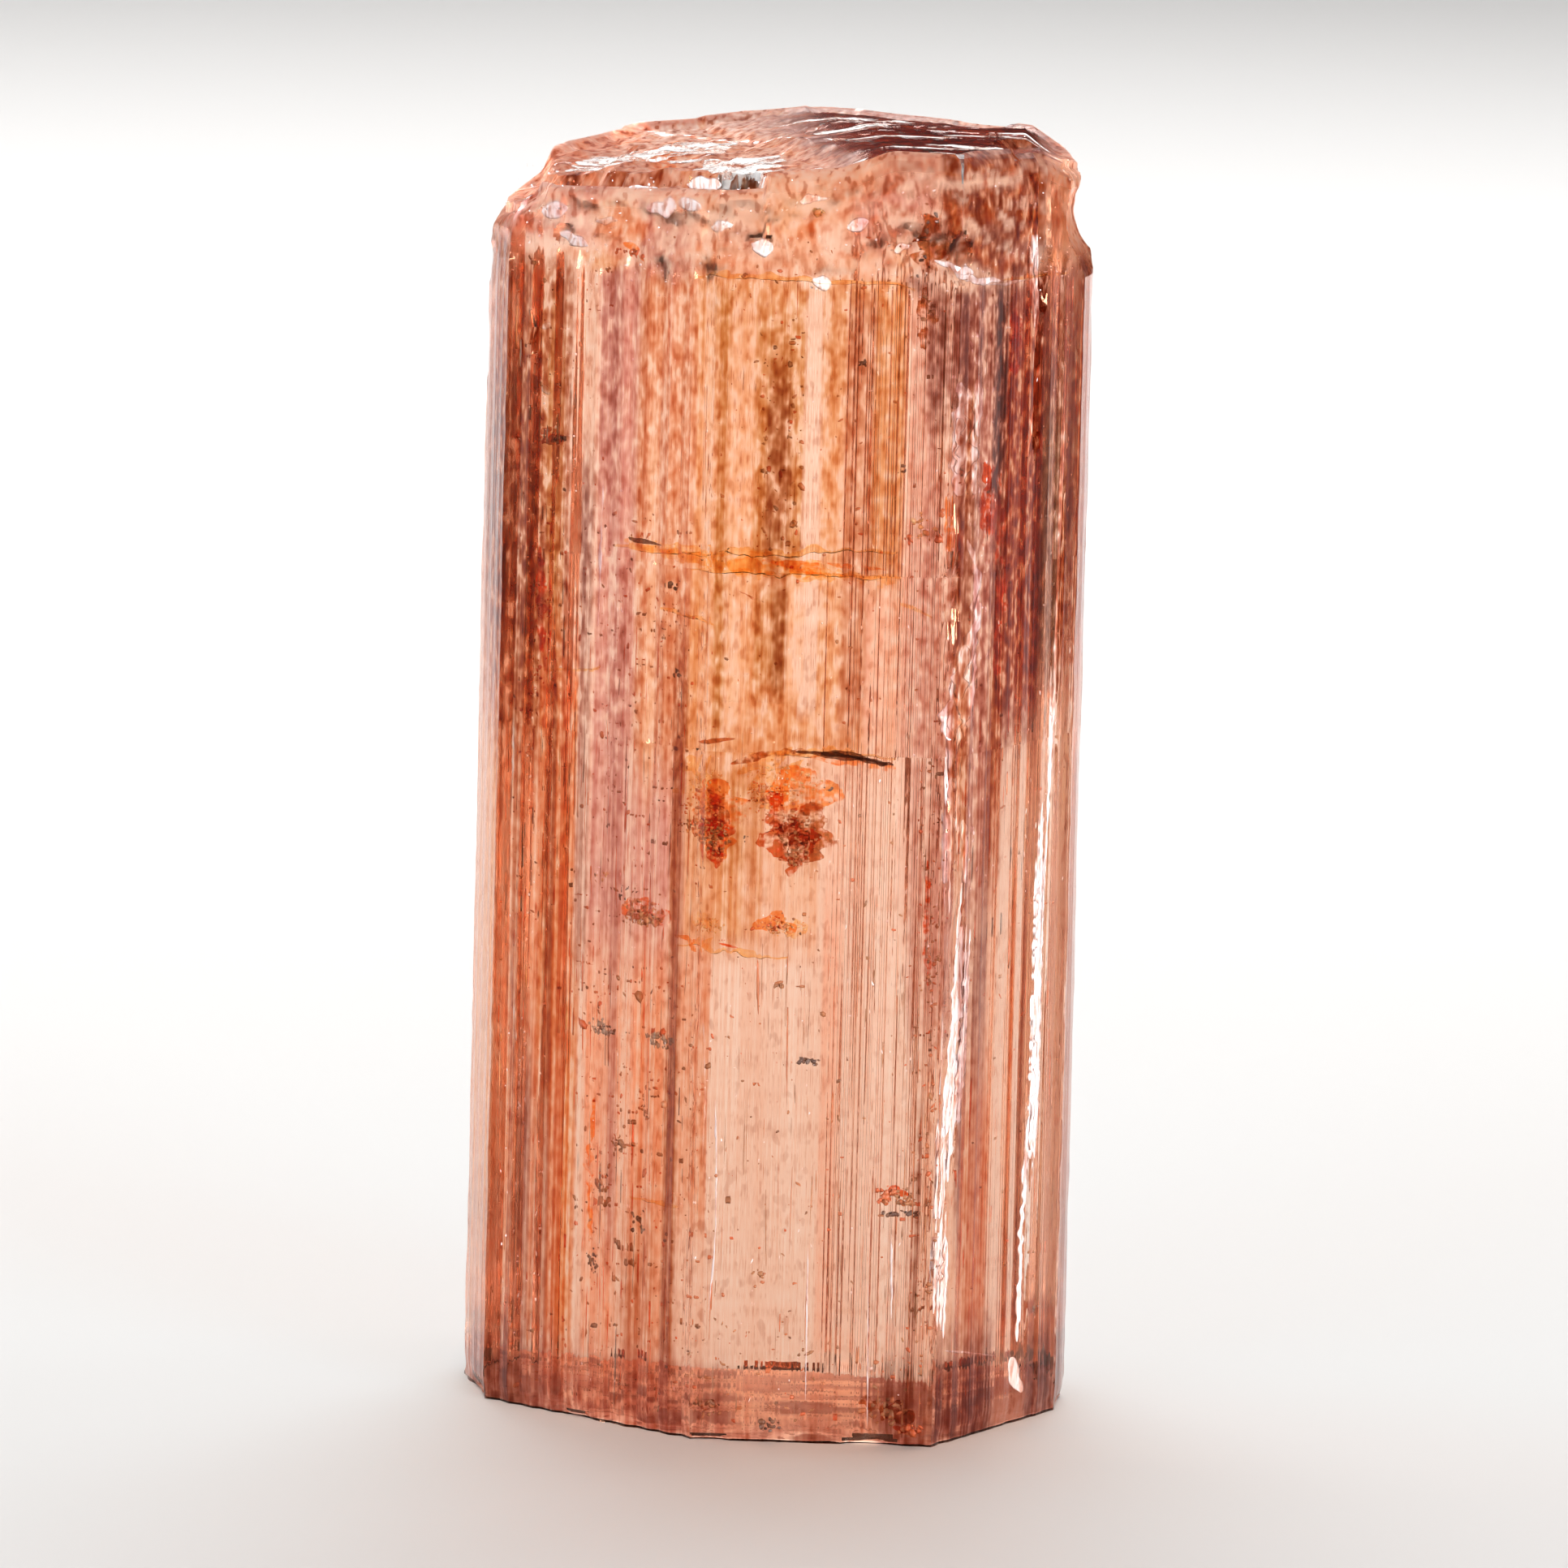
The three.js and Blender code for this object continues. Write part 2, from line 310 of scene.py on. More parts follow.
def scooped(points):
    """Points pushed in by the scoops: one inside a scoop's ellipsoid moves to its far side.

    Gives the moved points and how deep each was pushed.
    """
    moved = points.copy()
    pushed = np.zeros(points.shape[:-1])
    for face, along, height, wide, deep, high in SCOOPS:
        start, run, outward = prism_face(face)
        side = outward
        if along == 0:
            side = outward + prism_face((face - 1) % len(SECTION))[2]
            side = side / np.hypot(*side)
        thick = deep / (1 - SCOOP_LIFT)
        widen = 1 / math.sqrt(1 - SCOOP_LIFT**2)
        centre = shrink(height) * (start + along * run) + SCOOP_LIFT * thick * side
        flat = moved[..., :2] - centre
        across = flat @ np.array([-side[1], side[0]]) / (wide * widen)
        outwards = flat @ side / thick
        rise = (moved[..., 2] - height) / (high * widen)
        room = 1 - across**2 - rise**2
        depth = np.where(room > 0, outwards + np.sqrt(np.maximum(room, 0)), 0) * thick
        depth = np.where(np.abs(outwards) < 1.6, np.maximum(depth, 0), 0)
        moved[..., :2] -= depth[..., None] * side
        pushed += depth
    return moved, pushed


# Meshes from arrays


def mesh_object(name, places, quads, triangles=(), attributes=None):
    """A mesh object from arrays of places in mm and of the point numbers of its faces."""
    quads = np.asarray(quads, np.int32).reshape(-1, 4)
    triangles = np.asarray(triangles, np.int32).reshape(-1, 3)
    mesh = bpy.data.meshes.new(name)
    mesh.vertices.add(len(places))
    mesh.vertices.foreach_set("co", (places * MM).astype(np.float32).ravel())
    corners = np.concatenate([quads.ravel(), triangles.ravel()])
    starts = np.concatenate([4 * np.arange(len(quads)), quads.size + 3 * np.arange(len(triangles))])
    mesh.loops.add(len(corners))
    mesh.loops.foreach_set("vertex_index", corners)
    mesh.polygons.add(len(starts))
    mesh.polygons.foreach_set("loop_start", starts.astype(np.int32))
    mesh.update(calc_edges=True)
    if mesh.validate():
        raise RuntimeError(f"{name} has faces that don't close")
    for key, values in (attributes or {}).items():
        values = np.asarray(values, np.float32)
        if values.ndim == 1:
            mesh.attributes.new(key, "FLOAT", "POINT").data.foreach_set("value", values)
        else:
            colours = np.column_stack([values, np.ones(len(values), np.float32)])
            mesh.attributes.new(key, "FLOAT_COLOR", "POINT").data.foreach_set("color", colours.ravel())
    piece = bpy.data.objects.new(name, mesh)
    bpy.context.scene.collection.objects.link(piece)
    return piece


def above_base(arrays):
    """Mesh arrays with the points lower than just over the base raised to it."""
    places, quads, triangles = arrays
    return np.column_stack([places[:, :2], np.maximum(places[:, 2], BASE_CLEARANCE)]), quads, triangles


def grid_quads(rows, columns, wrap=True, first=0):
    """Point numbers of the quads of a grid of rows and columns, closed round each row if it wraps."""
    row = np.arange(rows - 1)[:, None]
    column = np.arange(columns if wrap else columns - 1)[None, :]
    following = (column + 1) % columns
    a = first + row * columns + column
    b = first + row * columns + following
    return np.stack([a, b, b + columns, a + columns], axis=-1).reshape(-1, 4)


def fan(centre, ring, outward_up):
    """Triangles from a centre point to a closed ring of points."""
    following = np.roll(ring, -1)
    centres = np.full(len(ring), centre)
    sides = (ring, following) if outward_up else (following, ring)
    return np.stack([centres, *sides], axis=-1)


def capped(rows, poles, flip=False):
    """Rings of points closed at each end by a fan to a pole, as places, quads and triangles."""
    count, around = rows.shape[:2]
    first = count * around
    ring = np.arange(around)
    places = np.concatenate([rows.reshape(-1, 3), poles])
    quads = grid_quads(count, around)
    ends = fan(first, ring, flip), fan(first + 1, first - around + ring, not flip)
    return places, quads[:, ::-1] if flip else quads, np.concatenate(ends)


def joined(parts):
    """Several parts as one: arrays of places, quads and triangles, with their point numbers moved on."""
    places, quads, triangles, count = [], [], [], 0
    for part_places, part_quads, part_triangles in parts:
        places.append(part_places)
        quads.append(part_quads + count)
        triangles.append(part_triangles + count)
        count += len(part_places)
    return np.concatenate(places), np.concatenate(quads), np.concatenate(triangles)


# Where the outward side starts and ends its turn from one front face to the next, along X
BLEND_ENDS = (-8.05, -7.65, -2.44, -1.54, 4.28, 5.18, 8.12, 8.32)


def front_place(x, z, inset):
    """Places behind the front of the crystal, at x and z and `inset` in from the prism face there.

    Also gives the way along the face and its outward side, which turns smoothly past each edge.
    """
    chain = SECTION[[LEFT_END, LEFT, FRONT, RIGHT, RIGHT_CORNER, RIGHT_END]]
    sides = np.array([prism_face(number)[2] for number in (LEFT_END, LEFT, FRONT, RIGHT, RIGHT_CORNER)])
    x, z, inset = np.broadcast_arrays(x, z, inset)
    scale = shrink(z)
    bare = np.clip(x / scale, chain[0, 0] + 0.01, chain[-1, 0] - 0.01)
    blended = np.repeat(sides, 2, axis=0)[1:-1]
    side = spread(*(np.interp(bare, BLEND_ENDS, blended[:, axis]) for axis in (0, 1)))
    side = side / np.linalg.norm(side, axis=-1, keepdims=True)
    y = np.interp(bare, chain[:, 0], chain[:, 1])
    place = spread(bare * scale, y * scale) - inset[..., None] * side
    along = spread(-side[..., 1], side[..., 0])
    flat = np.zeros((*x.shape, 1))
    return (
        np.concatenate([place, z[..., None]], axis=-1),
        np.concatenate([along, flat], axis=-1),
        np.concatenate([side, flat], axis=-1),
    )


STRIP_AROUND = 8


def strip(first, second, thick):
    """A thin closed strip between two rails, with a flattened oval for its cross-section.

    first and second are the rails' points; thick is half the thickness as a vector at each of them.
    """
    turn = 2 * math.pi * np.arange(STRIP_AROUND) / STRIP_AROUND
    middle = (first + second) / 2
    reach = (second - first) / 2
    oval = np.cos(turn)[None, :, None] * reach[:, None] + np.sin(turn)[None, :, None] * thick[:, None]
    return capped(middle[:, None] + oval, [middle[0], middle[-1]])


SPHERE_ROWS = np.radians([45.0, 90.0, 135.0])


def pebbles(centres, axes, sizes, seeds, around=8):
    """Many small irregular grains at once, each an oval ball of three rings and two poles.

    axes holds each grain's three directions as rows, and sizes its half-widths along them. A fixed
    random number moves each point of a ring in or out.
    """
    turn = 2 * math.pi * np.arange(around) / around
    tilt = SPHERE_ROWS[:, None]
    rings = spread(np.sin(tilt) * np.cos(turn), np.sin(tilt) * np.sin(turn), np.cos(tilt))
    ball, quads, triangles = capped(rings, [[0, 0, 1], [0, 0, -1]], flip=True)
    lumps = 0.7 + 0.5 * chance(seeds[:, None] * 31.7 + np.arange(len(ball)))
    places = centres[:, None] + (ball * lumps[..., None] * sizes[:, None]) @ axes
    first = len(ball) * np.arange(len(centres))[:, None, None]
    return places.reshape(-1, 3), (quads + first).reshape(-1, 4), (triangles + first).reshape(-1, 3)


def finish_piece(piece, material):
    """Give a piece its material and the body that it rides."""
    piece.data.materials.append(material)
    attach(piece, "root")


def flaw_piece(name, arrays, material, attributes=None, rounded=True):
    """A finished piece inside or on the crystal, from mesh arrays."""
    piece = mesh_object(name, *arrays, attributes)
    if rounded:
        piece.data.shade_smooth()
    finish_piece(piece, material)


# Shader expressions


class Value:
    """A socket in a material. Arithmetic on it adds Math nodes."""

    def __init__(self, shader, socket):
        self.shader = shader
        self.socket = socket

    def maths(self, operation, first, second):
        return self.shader.node("ShaderNodeMath", {"operation": operation}, {0: first, 1: second})

    def __add__(self, other):
        return self.maths("ADD", self, other)

    def __radd__(self, other):
        return self.maths("ADD", other, self)

    def __sub__(self, other):
        return self.maths("SUBTRACT", self, other)

    def __rsub__(self, other):
        return self.maths("SUBTRACT", other, self)

    def __mul__(self, other):
        return self.maths("MULTIPLY", self, other)

    def __rmul__(self, other):
        return self.maths("MULTIPLY", other, self)

    def above(self, other):
        return self.maths("GREATER_THAN", self, other)

    def most(self, other):
        return self.maths("MAXIMUM", self, other)


class Shader:
    """A material's node tree, built by expressions."""

    def __init__(self, name):
        self.material = bpy.data.materials.new(name)
        self.material.use_nodes = True
        self.tree = self.material.node_tree
        self.tree.nodes.clear()
        self.output = self.tree.nodes.new("ShaderNodeOutputMaterial")
        texture = self.tree.nodes.new("ShaderNodeTexCoord")
        self.place = self.vector("SCALE", Value(self, texture.outputs["Object"]), 1 / MM)
        split = self.tree.nodes.new("ShaderNodeSeparateXYZ")
        self.tree.links.new(self.place.socket, split.inputs[0])
        self.x, self.y, self.z = (Value(self, out) for out in split.outputs)

    def node(self, kind, settings=None, sockets=None, out=0):
        """A node of a kind, with its settings made first and then its sockets, as its output `out`."""
        made = self.tree.nodes.new(kind)
        for key, setting in (settings or {}).items():
            if key == "stops":
                self.set_stops(made.color_ramp, setting)
            else:
                setattr(made, key, setting)
        for key, given in (sockets or {}).items():
            if isinstance(given, Value):
                self.tree.links.new(given.socket, made.inputs[key])
            else:
                made.inputs[key].default_value = given
        return Value(self, made.outputs[out])

    @staticmethod
    def set_stops(ramp, stops):
        """Give a colour ramp these positions and colours."""
        while len(ramp.elements) < len(stops):
            ramp.elements.new(0.5)
        for element, (position, colour) in zip(ramp.elements, stops):
            element.position = position
            element.color = (*colour, 1.0)

    def vector(self, operation, first, second):
        """A Vector Math node; SCALE takes a number second."""
        key = 3 if operation == "SCALE" else 1
        return self.node("ShaderNodeVectorMath", {"operation": operation}, {0: first, key: second})

    def stretched(self, across, up):
        """Places scaled by `across` in X and Y and by `up` in Z."""
        return self.vector("MULTIPLY", self.place, (across, across, up))

    def layered(self, across, up):
        """As stretched, but the pattern changes at each level cleavage plane."""
        level = sum((self.z.above(height) for height in CLEAVAGES[1:]), self.z.above(CLEAVAGES[0]))
        sockets = {0: self.x * across, 1: self.y * across, 2: self.z * up + 0.6 * level}
        return self.node("ShaderNodeCombineXYZ", None, sockets)

    def noise(self, places, scale=1.0, detail=2.0):
        return self.node("ShaderNodeTexNoise", None, {"Vector": places, "Scale": scale, "Detail": detail})

    def smooth(self, value, low, high):
        """An S-curve from 0 at low to 1 at high. Low may be the larger."""
        sockets = {"Value": value, "From Min": low, "From Max": high}
        return self.node("ShaderNodeMapRange", {"interpolation_type": "SMOOTHSTEP"}, sockets)

    def mix(self, factor, first, second):
        """A colour from the first at factor 0 to the second at 1."""
        sockets = {0: factor, 6: as_colour(first), 7: as_colour(second)}
        return self.node("ShaderNodeMix", {"data_type": "RGBA"}, sockets, out=2)

    def attribute(self, name, out=2):
        """A number kept at each point of the mesh, or a colour with out=0."""
        return self.node("ShaderNodeAttribute", {"attribute_name": name}, None, out=out)

    def bump(self, height, strength, distance):
        """A normal from a height in units of `distance` mm."""
        sockets = {"Strength": strength, "Distance": distance * MM, "Height": height}
        return self.node("ShaderNodeBump", None, sockets)

    def surface(self, lets_light=False, **sockets):
        """A Principled surface. Sockets are words joined by _. Lamps shine through one that lets light."""
        named = {key.replace("_", " "): as_colour(given) for key, given in sockets.items()}
        made = self.node("ShaderNodeBsdfPrincipled", None, named)
        if lets_light:
            clear = self.node("ShaderNodeBsdfTransparent", None, {"Color": (0.93, 0.90, 0.88, 1.0)})
            shadow = self.node("ShaderNodeLightPath", out="Is Shadow Ray")
            made = self.node("ShaderNodeMixShader", None, {0: shadow, 1: made, 2: clear})
        self.tree.links.new(made.socket, self.output.inputs["Surface"])
        return self.material

    def absorption(self, colour, density):
        """Turn light to a colour with thickness."""
        made = self.node("ShaderNodeVolumeAbsorption", None, {"Color": (*colour, 1.0), "Density": density})
        self.tree.links.new(made.socket, self.output.inputs["Volume"])


def as_colour(given):
    """Three numbers as a colour with alpha; anything else as it is."""
    if isinstance(given, (tuple, list)) and len(given) == 3:
        return (*given, 1.0)
    return given


# Colours, linear. A tint is what light keeps on its way through one face of the crystal.
BACK_TINT = (0.96, 0.84, 0.78)
# The shelf's whitish tint is partly painted light, where the broken top catches light from above.
SHELF_TINT = (0.84, 0.66, 0.60)
PALE = (1.0, 1.0, 1.0)
PEACH = (0.98, 0.83, 0.68)
BLUSH = (0.98, 0.84, 0.80)
AMBER = (0.86, 0.58, 0.36)
APRICOT = (0.77, 0.44, 0.29)
SALMON = (0.98, 0.65, 0.51)
COPPER = (0.74, 0.27, 0.11)
HONEY = (0.66, 0.37, 0.16)
ORANGE = (0.84, 0.38, 0.17)
PINK = (0.78, 0.53, 0.52)
DUSK = (0.66, 0.40, 0.36)
ROSE = (0.58, 0.33, 0.32)
RUSSET = (0.50, 0.185, 0.08)
RUST = (0.34, 0.085, 0.025)
BROWN = (0.32, 0.10, 0.05)
PLUM = (0.32, 0.12, 0.10)
DEEP_RED = (0.14, 0.03, 0.02)
EMBER = (0.32, 0.05, 0.015)
OLIVE = (0.40, 0.29, 0.22)
MAUVE = (0.42, 0.22, 0.20)
GREIGE = (0.64, 0.48, 0.42)


# Zones of tint on the front, each laid over those before it
ZONES = (
    # colour, strength, left, right, bottom, top, softness of the sides, fade of the ends
    # left side
    (SALMON, 0.90, -8.60, -5.90, -1.0, 21.0, 0.10, 1.5),
    (ORANGE, 0.35, -7.90, -6.60, 2.0, 20.0, 0.20, 2.0),
    (RUSSET, 0.90, -8.60, -5.90, 18.0, 33.0, 0.10, 2.0),
    (RUST, 0.85, -8.60, -6.70, 21.0, 29.5, 0.20, 2.0),
    (BROWN, 0.50, -8.60, -7.55, 21.5, 28.0, 0.08, 2.0),
    (HONEY, 0.55, -6.55, -6.10, 20.0, 31.0, 0.05, 2.0),
    (PEACH, 0.95, -8.60, -7.85, 1.5, 19.0, 0.05, 1.5),
    (RUSSET, 0.65, -7.35, -7.00, 3.0, 19.0, 0.08, 2.0),
    (MAUVE, 0.70, -7.10, -6.70, 2.0, 10.5, 0.06, 2.5),
    (COPPER, 0.90, -6.65, -5.45, 1.0, 22.0, 0.08, 2.0),
    (GREIGE, 0.70, -6.60, -6.15, -1.0, 8.5, 0.06, 2.0),
    (BROWN, 0.55, -6.45, -6.15, 9.0, 21.0, 0.05, 2.0),
    (ORANGE, 0.80, -5.85, -5.35, -1.0, 13.0, 0.06, 3.0),
    (MAUVE, 0.70, -5.60, -5.20, 13.0, 27.0, 0.06, 1.5),
    (PINK, 1.00, -5.15, -2.90, 13.0, 33.0, 0.08, 2.0),
    (SALMON, 0.95, -5.15, -2.90, -1.0, 13.0, 0.08, 2.0),
    (ROSE, 0.70, -5.15, -4.60, 26.0, 33.0, 0.10, 2.0),
    (ROSE, 0.65, -4.55, -4.30, 5.0, 24.0, 0.04, 2.0),
    (APRICOT, 1.00, -4.05, -2.50, 18.5, 33.0, 0.10, 1.5),
    (PEACH, 0.60, -3.75, -3.45, 18.0, 28.0, 0.04, 2.0),
    (ORANGE, 0.35, -3.70, -2.50, -1.0, 13.5, 0.10, 2.0),
    (RUSSET, 0.50, -4.20, -3.10, 1.0, 6.0, 0.20, 3.0),
    (RUSSET, 0.85, -2.90, -2.50, -1.0, 22.0, 0.05, 2.0),
    # front
    (AMBER, 1.00, -2.50, 3.20, 19.3, 32.6, 0.05, 0.05),
    (HONEY, 0.35, -2.50, 2.40, 29.0, 32.5, 0.20, 1.2),
    (HONEY, 0.90, -1.85, -1.55, 20.0, 32.0, 0.03, 0.4),
    (PEACH, 0.80, -2.30, -2.00, 24.6, 32.2, 0.03, 0.3),
    (PEACH, 0.60, -1.50, -0.95, 20.0, 32.0, 0.03, 0.3),
    (HONEY, 0.90, -0.85, 0.45, 24.5, 31.5, 0.05, 0.5),
    (BROWN, 0.60, -0.55, 0.15, 24.5, 30.0, 0.12, 1.5),
    (PALE, 0.80, 0.50, 0.95, 20.5, 32.2, 0.03, 0.3),
    (HONEY, 0.95, -0.75, 0.20, 21.2, 23.9, 0.05, 0.2),
    (BROWN, 0.50, -0.30, 0.15, 21.2, 23.9, 0.10, 0.5),
    (PEACH, 0.80, 0.20, 0.60, 21.0, 24.2, 0.05, 0.2),
    (ROSE, 0.40, 1.60, 2.40, 20.0, 32.0, 0.08, 0.8),
    (HONEY, 0.30, 2.40, 3.20, 24.0, 32.0, 0.08, 0.8),
    (BLUSH, 0.70, 2.30, 3.30, 19.3, 24.2, 0.08, 0.8),
    (AMBER, 0.90, -2.45, -0.40, 13.9, 19.3, 0.05, 0.1),
    (PEACH, 0.60, -0.40, 1.20, 13.9, 19.3, 0.05, 0.3),
    (HONEY, 0.50, -2.30, -0.40, 16.2, 18.7, 0.30, 0.5),
    (HONEY, 0.40, 0.20, 1.90, 16.2, 18.7, 0.30, 0.5),
    (ORANGE, 0.55, -2.50, -1.75, 6.0, 13.9, 0.06, 1.0),
    (PALE, 0.85, -1.70, -0.35, 1.5, 13.7, 0.06, 0.5),
    (PALE, 1.00, -0.30, 1.15, -1.0, 13.7, 0.04, 0.3),
    (PALE, 1.00, 1.15, 3.98, 1.5, 19.0, 0.05, 1.0),
    (SALMON, 0.40, 1.35, 1.85, 2.0, 16.0, 0.05, 2.0),
    (PINK, 0.45, 3.35, 4.05, 15.0, 32.0, 0.06, 2.0),
    (DUSK, 0.80, 3.75, 4.95, 11.5, 27.5, 0.08, 1.5),
    (BROWN, 0.90, 4.02, 4.16, 1.0, 9.5, 0.03, 1.5),
    # right side
    (MAUVE, 0.90, 3.80, 4.70, 28.5, 32.3, 0.10, 1.0),
    (PLUM, 0.60, 3.80, 4.80, 29.8, 32.6, 0.10, 0.5),
    (RUST, 0.85, 4.75, 8.60, 21.5, 32.4, 0.10, 1.5),
    (RUSSET, 0.90, 4.75, 7.10, 15.5, 22.5, 0.10, 1.5),
    (ROSE, 0.70, 5.25, 5.70, 15.0, 30.0, 0.06, 1.0),
    (PLUM, 0.90, 4.70, 5.60, 29.6, 32.6, 0.10, 0.5),
    (DEEP_RED, 0.98, 5.62, 6.02, 26.5, 32.4, 0.05, 0.4),
    (EMBER, 0.97, 6.00, 7.08, 19.5, 32.4, 0.06, 1.5),
    (OLIVE, 0.90, 7.12, 7.55, 21.0, 28.5, 0.05, 1.0),
    (COPPER, 0.50, 7.60, 8.60, 21.0, 32.4, 0.05, 1.5),
    (BROWN, 0.50, 7.75, 8.00, 22.0, 31.0, 0.05, 1.5),
    (MAUVE, 0.70, 5.15, 5.90, 6.0, 15.0, 0.06, 1.5),
    (COPPER, 0.75, 5.30, 6.10, -1.0, 10.0, 0.06, 2.5),
    (PALE, 0.95, 6.15, 8.15, 2.5, 19.5, 0.04, 1.5),
    (ORANGE, 0.85, 6.55, 6.70, 2.0, 16.0, 0.03, 1.5),
    (PALE, 0.95, 7.10, 7.95, 3.5, 20.0, 0.04, 1.5),
    (RUSSET, 0.80, 6.95, 7.03, 2.0, 15.0, 0.03, 1.5),
    (RUSSET, 0.50, 8.02, 8.10, 1.0, 18.0, 0.03, 1.5),
    (BROWN, 0.40, 8.25, 8.60, -1.0, 19.0, 0.04, 1.5),
    # above the top crack
    (BLUSH, 0.95, -8.60, 4.20, 32.6, 37.0, 0.20, 0.3),
    (AMBER, 0.40, -2.50, 3.20, 32.6, 37.0, 0.30, 0.3),
    (DUSK, 0.55, 2.40, 3.90, 32.6, 37.0, 0.20, 0.3),
    (RUST, 0.95, 4.10, 7.00, 32.6, 37.0, 0.10, 0.2),
    (PEACH, 0.95, 7.15, 8.60, 32.6, 37.0, 0.10, 0.2),
    # foot
    (PLUM, 0.85, -8.60, -6.70, -1.0, 2.6, 0.20, 1.5),
    (ROSE, 0.70, -6.70, -2.60, -1.0, 1.8, 0.30, 1.4),
    (ROSE, 0.70, -3.80, -1.00, -1.0, 1.8, 0.30, 1.2),
    (ROSE, 0.45, -1.00, 3.00, -1.0, 1.0, 0.30, 1.0),
    (BROWN, 0.70, 3.00, 4.70, -1.0, 2.2, 0.15, 0.9),
    (PLUM, 1.00, 4.70, 6.40, -1.0, 2.8, 0.10, 1.4),
    (PLUM, 0.85, 7.30, 8.60, -1.0, 2.6, 0.10, 1.2),
)


# Soft blotches above the top crack: colour, strength, x, z, half-width, half-height. The PALE ones are
# painted
# highlights: clear spots that stand in for the white glints on the broken band and its rim.
BLOTCHES_AND_HIGHLIGHTS = (
    (PINK, 0.80, -7.6, 33.6, 0.9, 0.8),
    (RUSSET, 0.75, -8.2, 32.4, 0.5, 1.0),
    (RUSSET, 0.70, -7.2, 31.9, 0.7, 0.5),
    (PALE, 0.90, -7.0, 33.8, 0.6, 0.35),
    (PINK, 0.75, -6.2, 33.5, 0.8, 0.7),
    (PALE, 0.80, -6.0, 33.0, 0.35, 0.25),
    (ORANGE, 0.70, -4.7, 33.5, 0.8, 0.6),
    (PEACH, 0.90, -5.1, 34.2, 0.7, 0.5),
    (AMBER, 0.80, -5.4, 32.6, 0.7, 0.4),
    (PINK, 0.95, -3.95, 33.4, 0.22, 1.4),
    (ROSE, 0.75, -3.3, 33.0, 0.7, 0.9),
    (PALE, 1.00, -2.9, 34.35, 0.55, 0.22),
    (ORANGE, 0.60, -2.1, 33.2, 0.5, 0.5),
    (PALE, 0.60, -1.5, 34.4, 0.6, 0.3),
    (ROSE, 0.45, -1.3, 33.6, 0.5, 0.6),
    (PALE, 1.00, -0.8, 33.35, 0.40, 0.22),
    (ORANGE, 0.70, 0.65, 33.9, 0.35, 0.4),
    (PEACH, 0.90, 0.0, 34.3, 0.7, 0.7),
    (PINK, 0.85, 1.9, 34.2, 0.5, 0.8),
    (PALE, 0.90, 0.8, 32.5, 0.4, 0.3),
    (ROSE, 0.55, 2.6, 33.6, 0.6, 0.5),
    (AMBER, 0.70, 2.9, 32.8, 0.4, 0.9),
    (PINK, 0.90, 2.9, 34.9, 1.2, 0.35),
    (PLUM, 0.65, 3.75, 33.7, 0.40, 0.60),
    (PLUM, 0.55, 3.65, 32.5, 0.40, 0.40),
    (PALE, 0.95, 4.60, 32.6, 0.80, 0.30),
    (PALE, 0.90, -1.9, 34.0, 0.70, 0.25),
    (PALE, 0.85, 1.2, 33.5, 0.45, 0.45),
    (PALE, 0.85, -4.6, 34.5, 1.20, 0.25),
    (PINK, 0.80, -5.6, 34.3, 0.80, 0.35),
    (APRICOT, 0.75, -0.3, 32.9, 0.60, 0.35),
    (PALE, 0.70, 4.0, 34.5, 0.35, 0.25),
    (PALE, 0.90, 4.75, 34.0, 0.16, 0.6),
    (BROWN, 0.60, 5.4, 34.2, 0.7, 0.7),
    (PINK, 0.50, 6.2, 33.0, 0.4, 0.3),
    (BROWN, 0.55, 6.2, 32.6, 0.4, 0.3),
    (PALE, 0.85, 5.3, 35.3, 1.6, 0.18),
)


def share_of(tint, colour, share):
    """Tint moved towards a colour by a share at each place."""
    share = np.clip(share, 0, 1)[..., None]
    return tint + share * (np.array(colour) - tint)


def side_tint(places):
    """Tint at each place: the zones of the front laid over peach, each with smooth sides and ends.

    The sides wander by a noise that runs up the crystal, and the back keeps a paler tint. Above the top
    crack soft blotches lie over the zones; the palest of them are painted highlights.
    """
    x, y, z = np.moveaxis(places, -1, 0)
    wander = x + 0.12 * (lattice(spread(x / 0.3, z / 7.0), 41.0) - 0.5)
    patchy = 0.75 + 0.5 * lattice(spread(x / 0.2, z / 4.0), 42.0)
    front = smooth(0.5, -1.5, y)
    tint = np.full(places.shape, BACK_TINT)
    for colour, strength, left, right, bottom, top, soft, fade in ZONES:
        mask = smooth(left - soft, left + soft, wander) * smooth(right + soft, right - soft, wander)
        mask = mask * smooth(bottom - fade, bottom + fade, z) * smooth(top + fade, top - fade, z)
        tint = share_of(tint, colour, mask * front * strength * patchy)
    shift = spread(x / 0.8, y / 0.8, z / 0.5)
    bent_x = x + 0.9 * (lattice(shift, 43.0) - 0.5)
    bent_z = z + 0.7 * (lattice(shift, 44.0) - 0.5)
    for colour, strength, middle_x, middle_z, wide, high in BLOTCHES_AND_HIGHLIGHTS:
        far = np.hypot((bent_x - middle_x) / wide, (bent_z - middle_z) / high)
        tint = share_of(tint, colour, smooth(1.25, 0.3, far) * front * strength)
    upper = smooth(31.9, 33.0, z) * front
    mottle = lattice(spread(x / 0.45, y / 0.45, z / 0.3), 45.0)
    mottle = mottle + 0.5 * lattice(spread(x / 0.2, y / 0.2, z / 0.14), 46.0)
    tint = share_of(tint, PALE, 0.6 * upper * smooth(0.80, 1.05, mottle))
    return share_of(tint, COPPER, 0.45 * upper * smooth(0.62, 0.40, mottle))


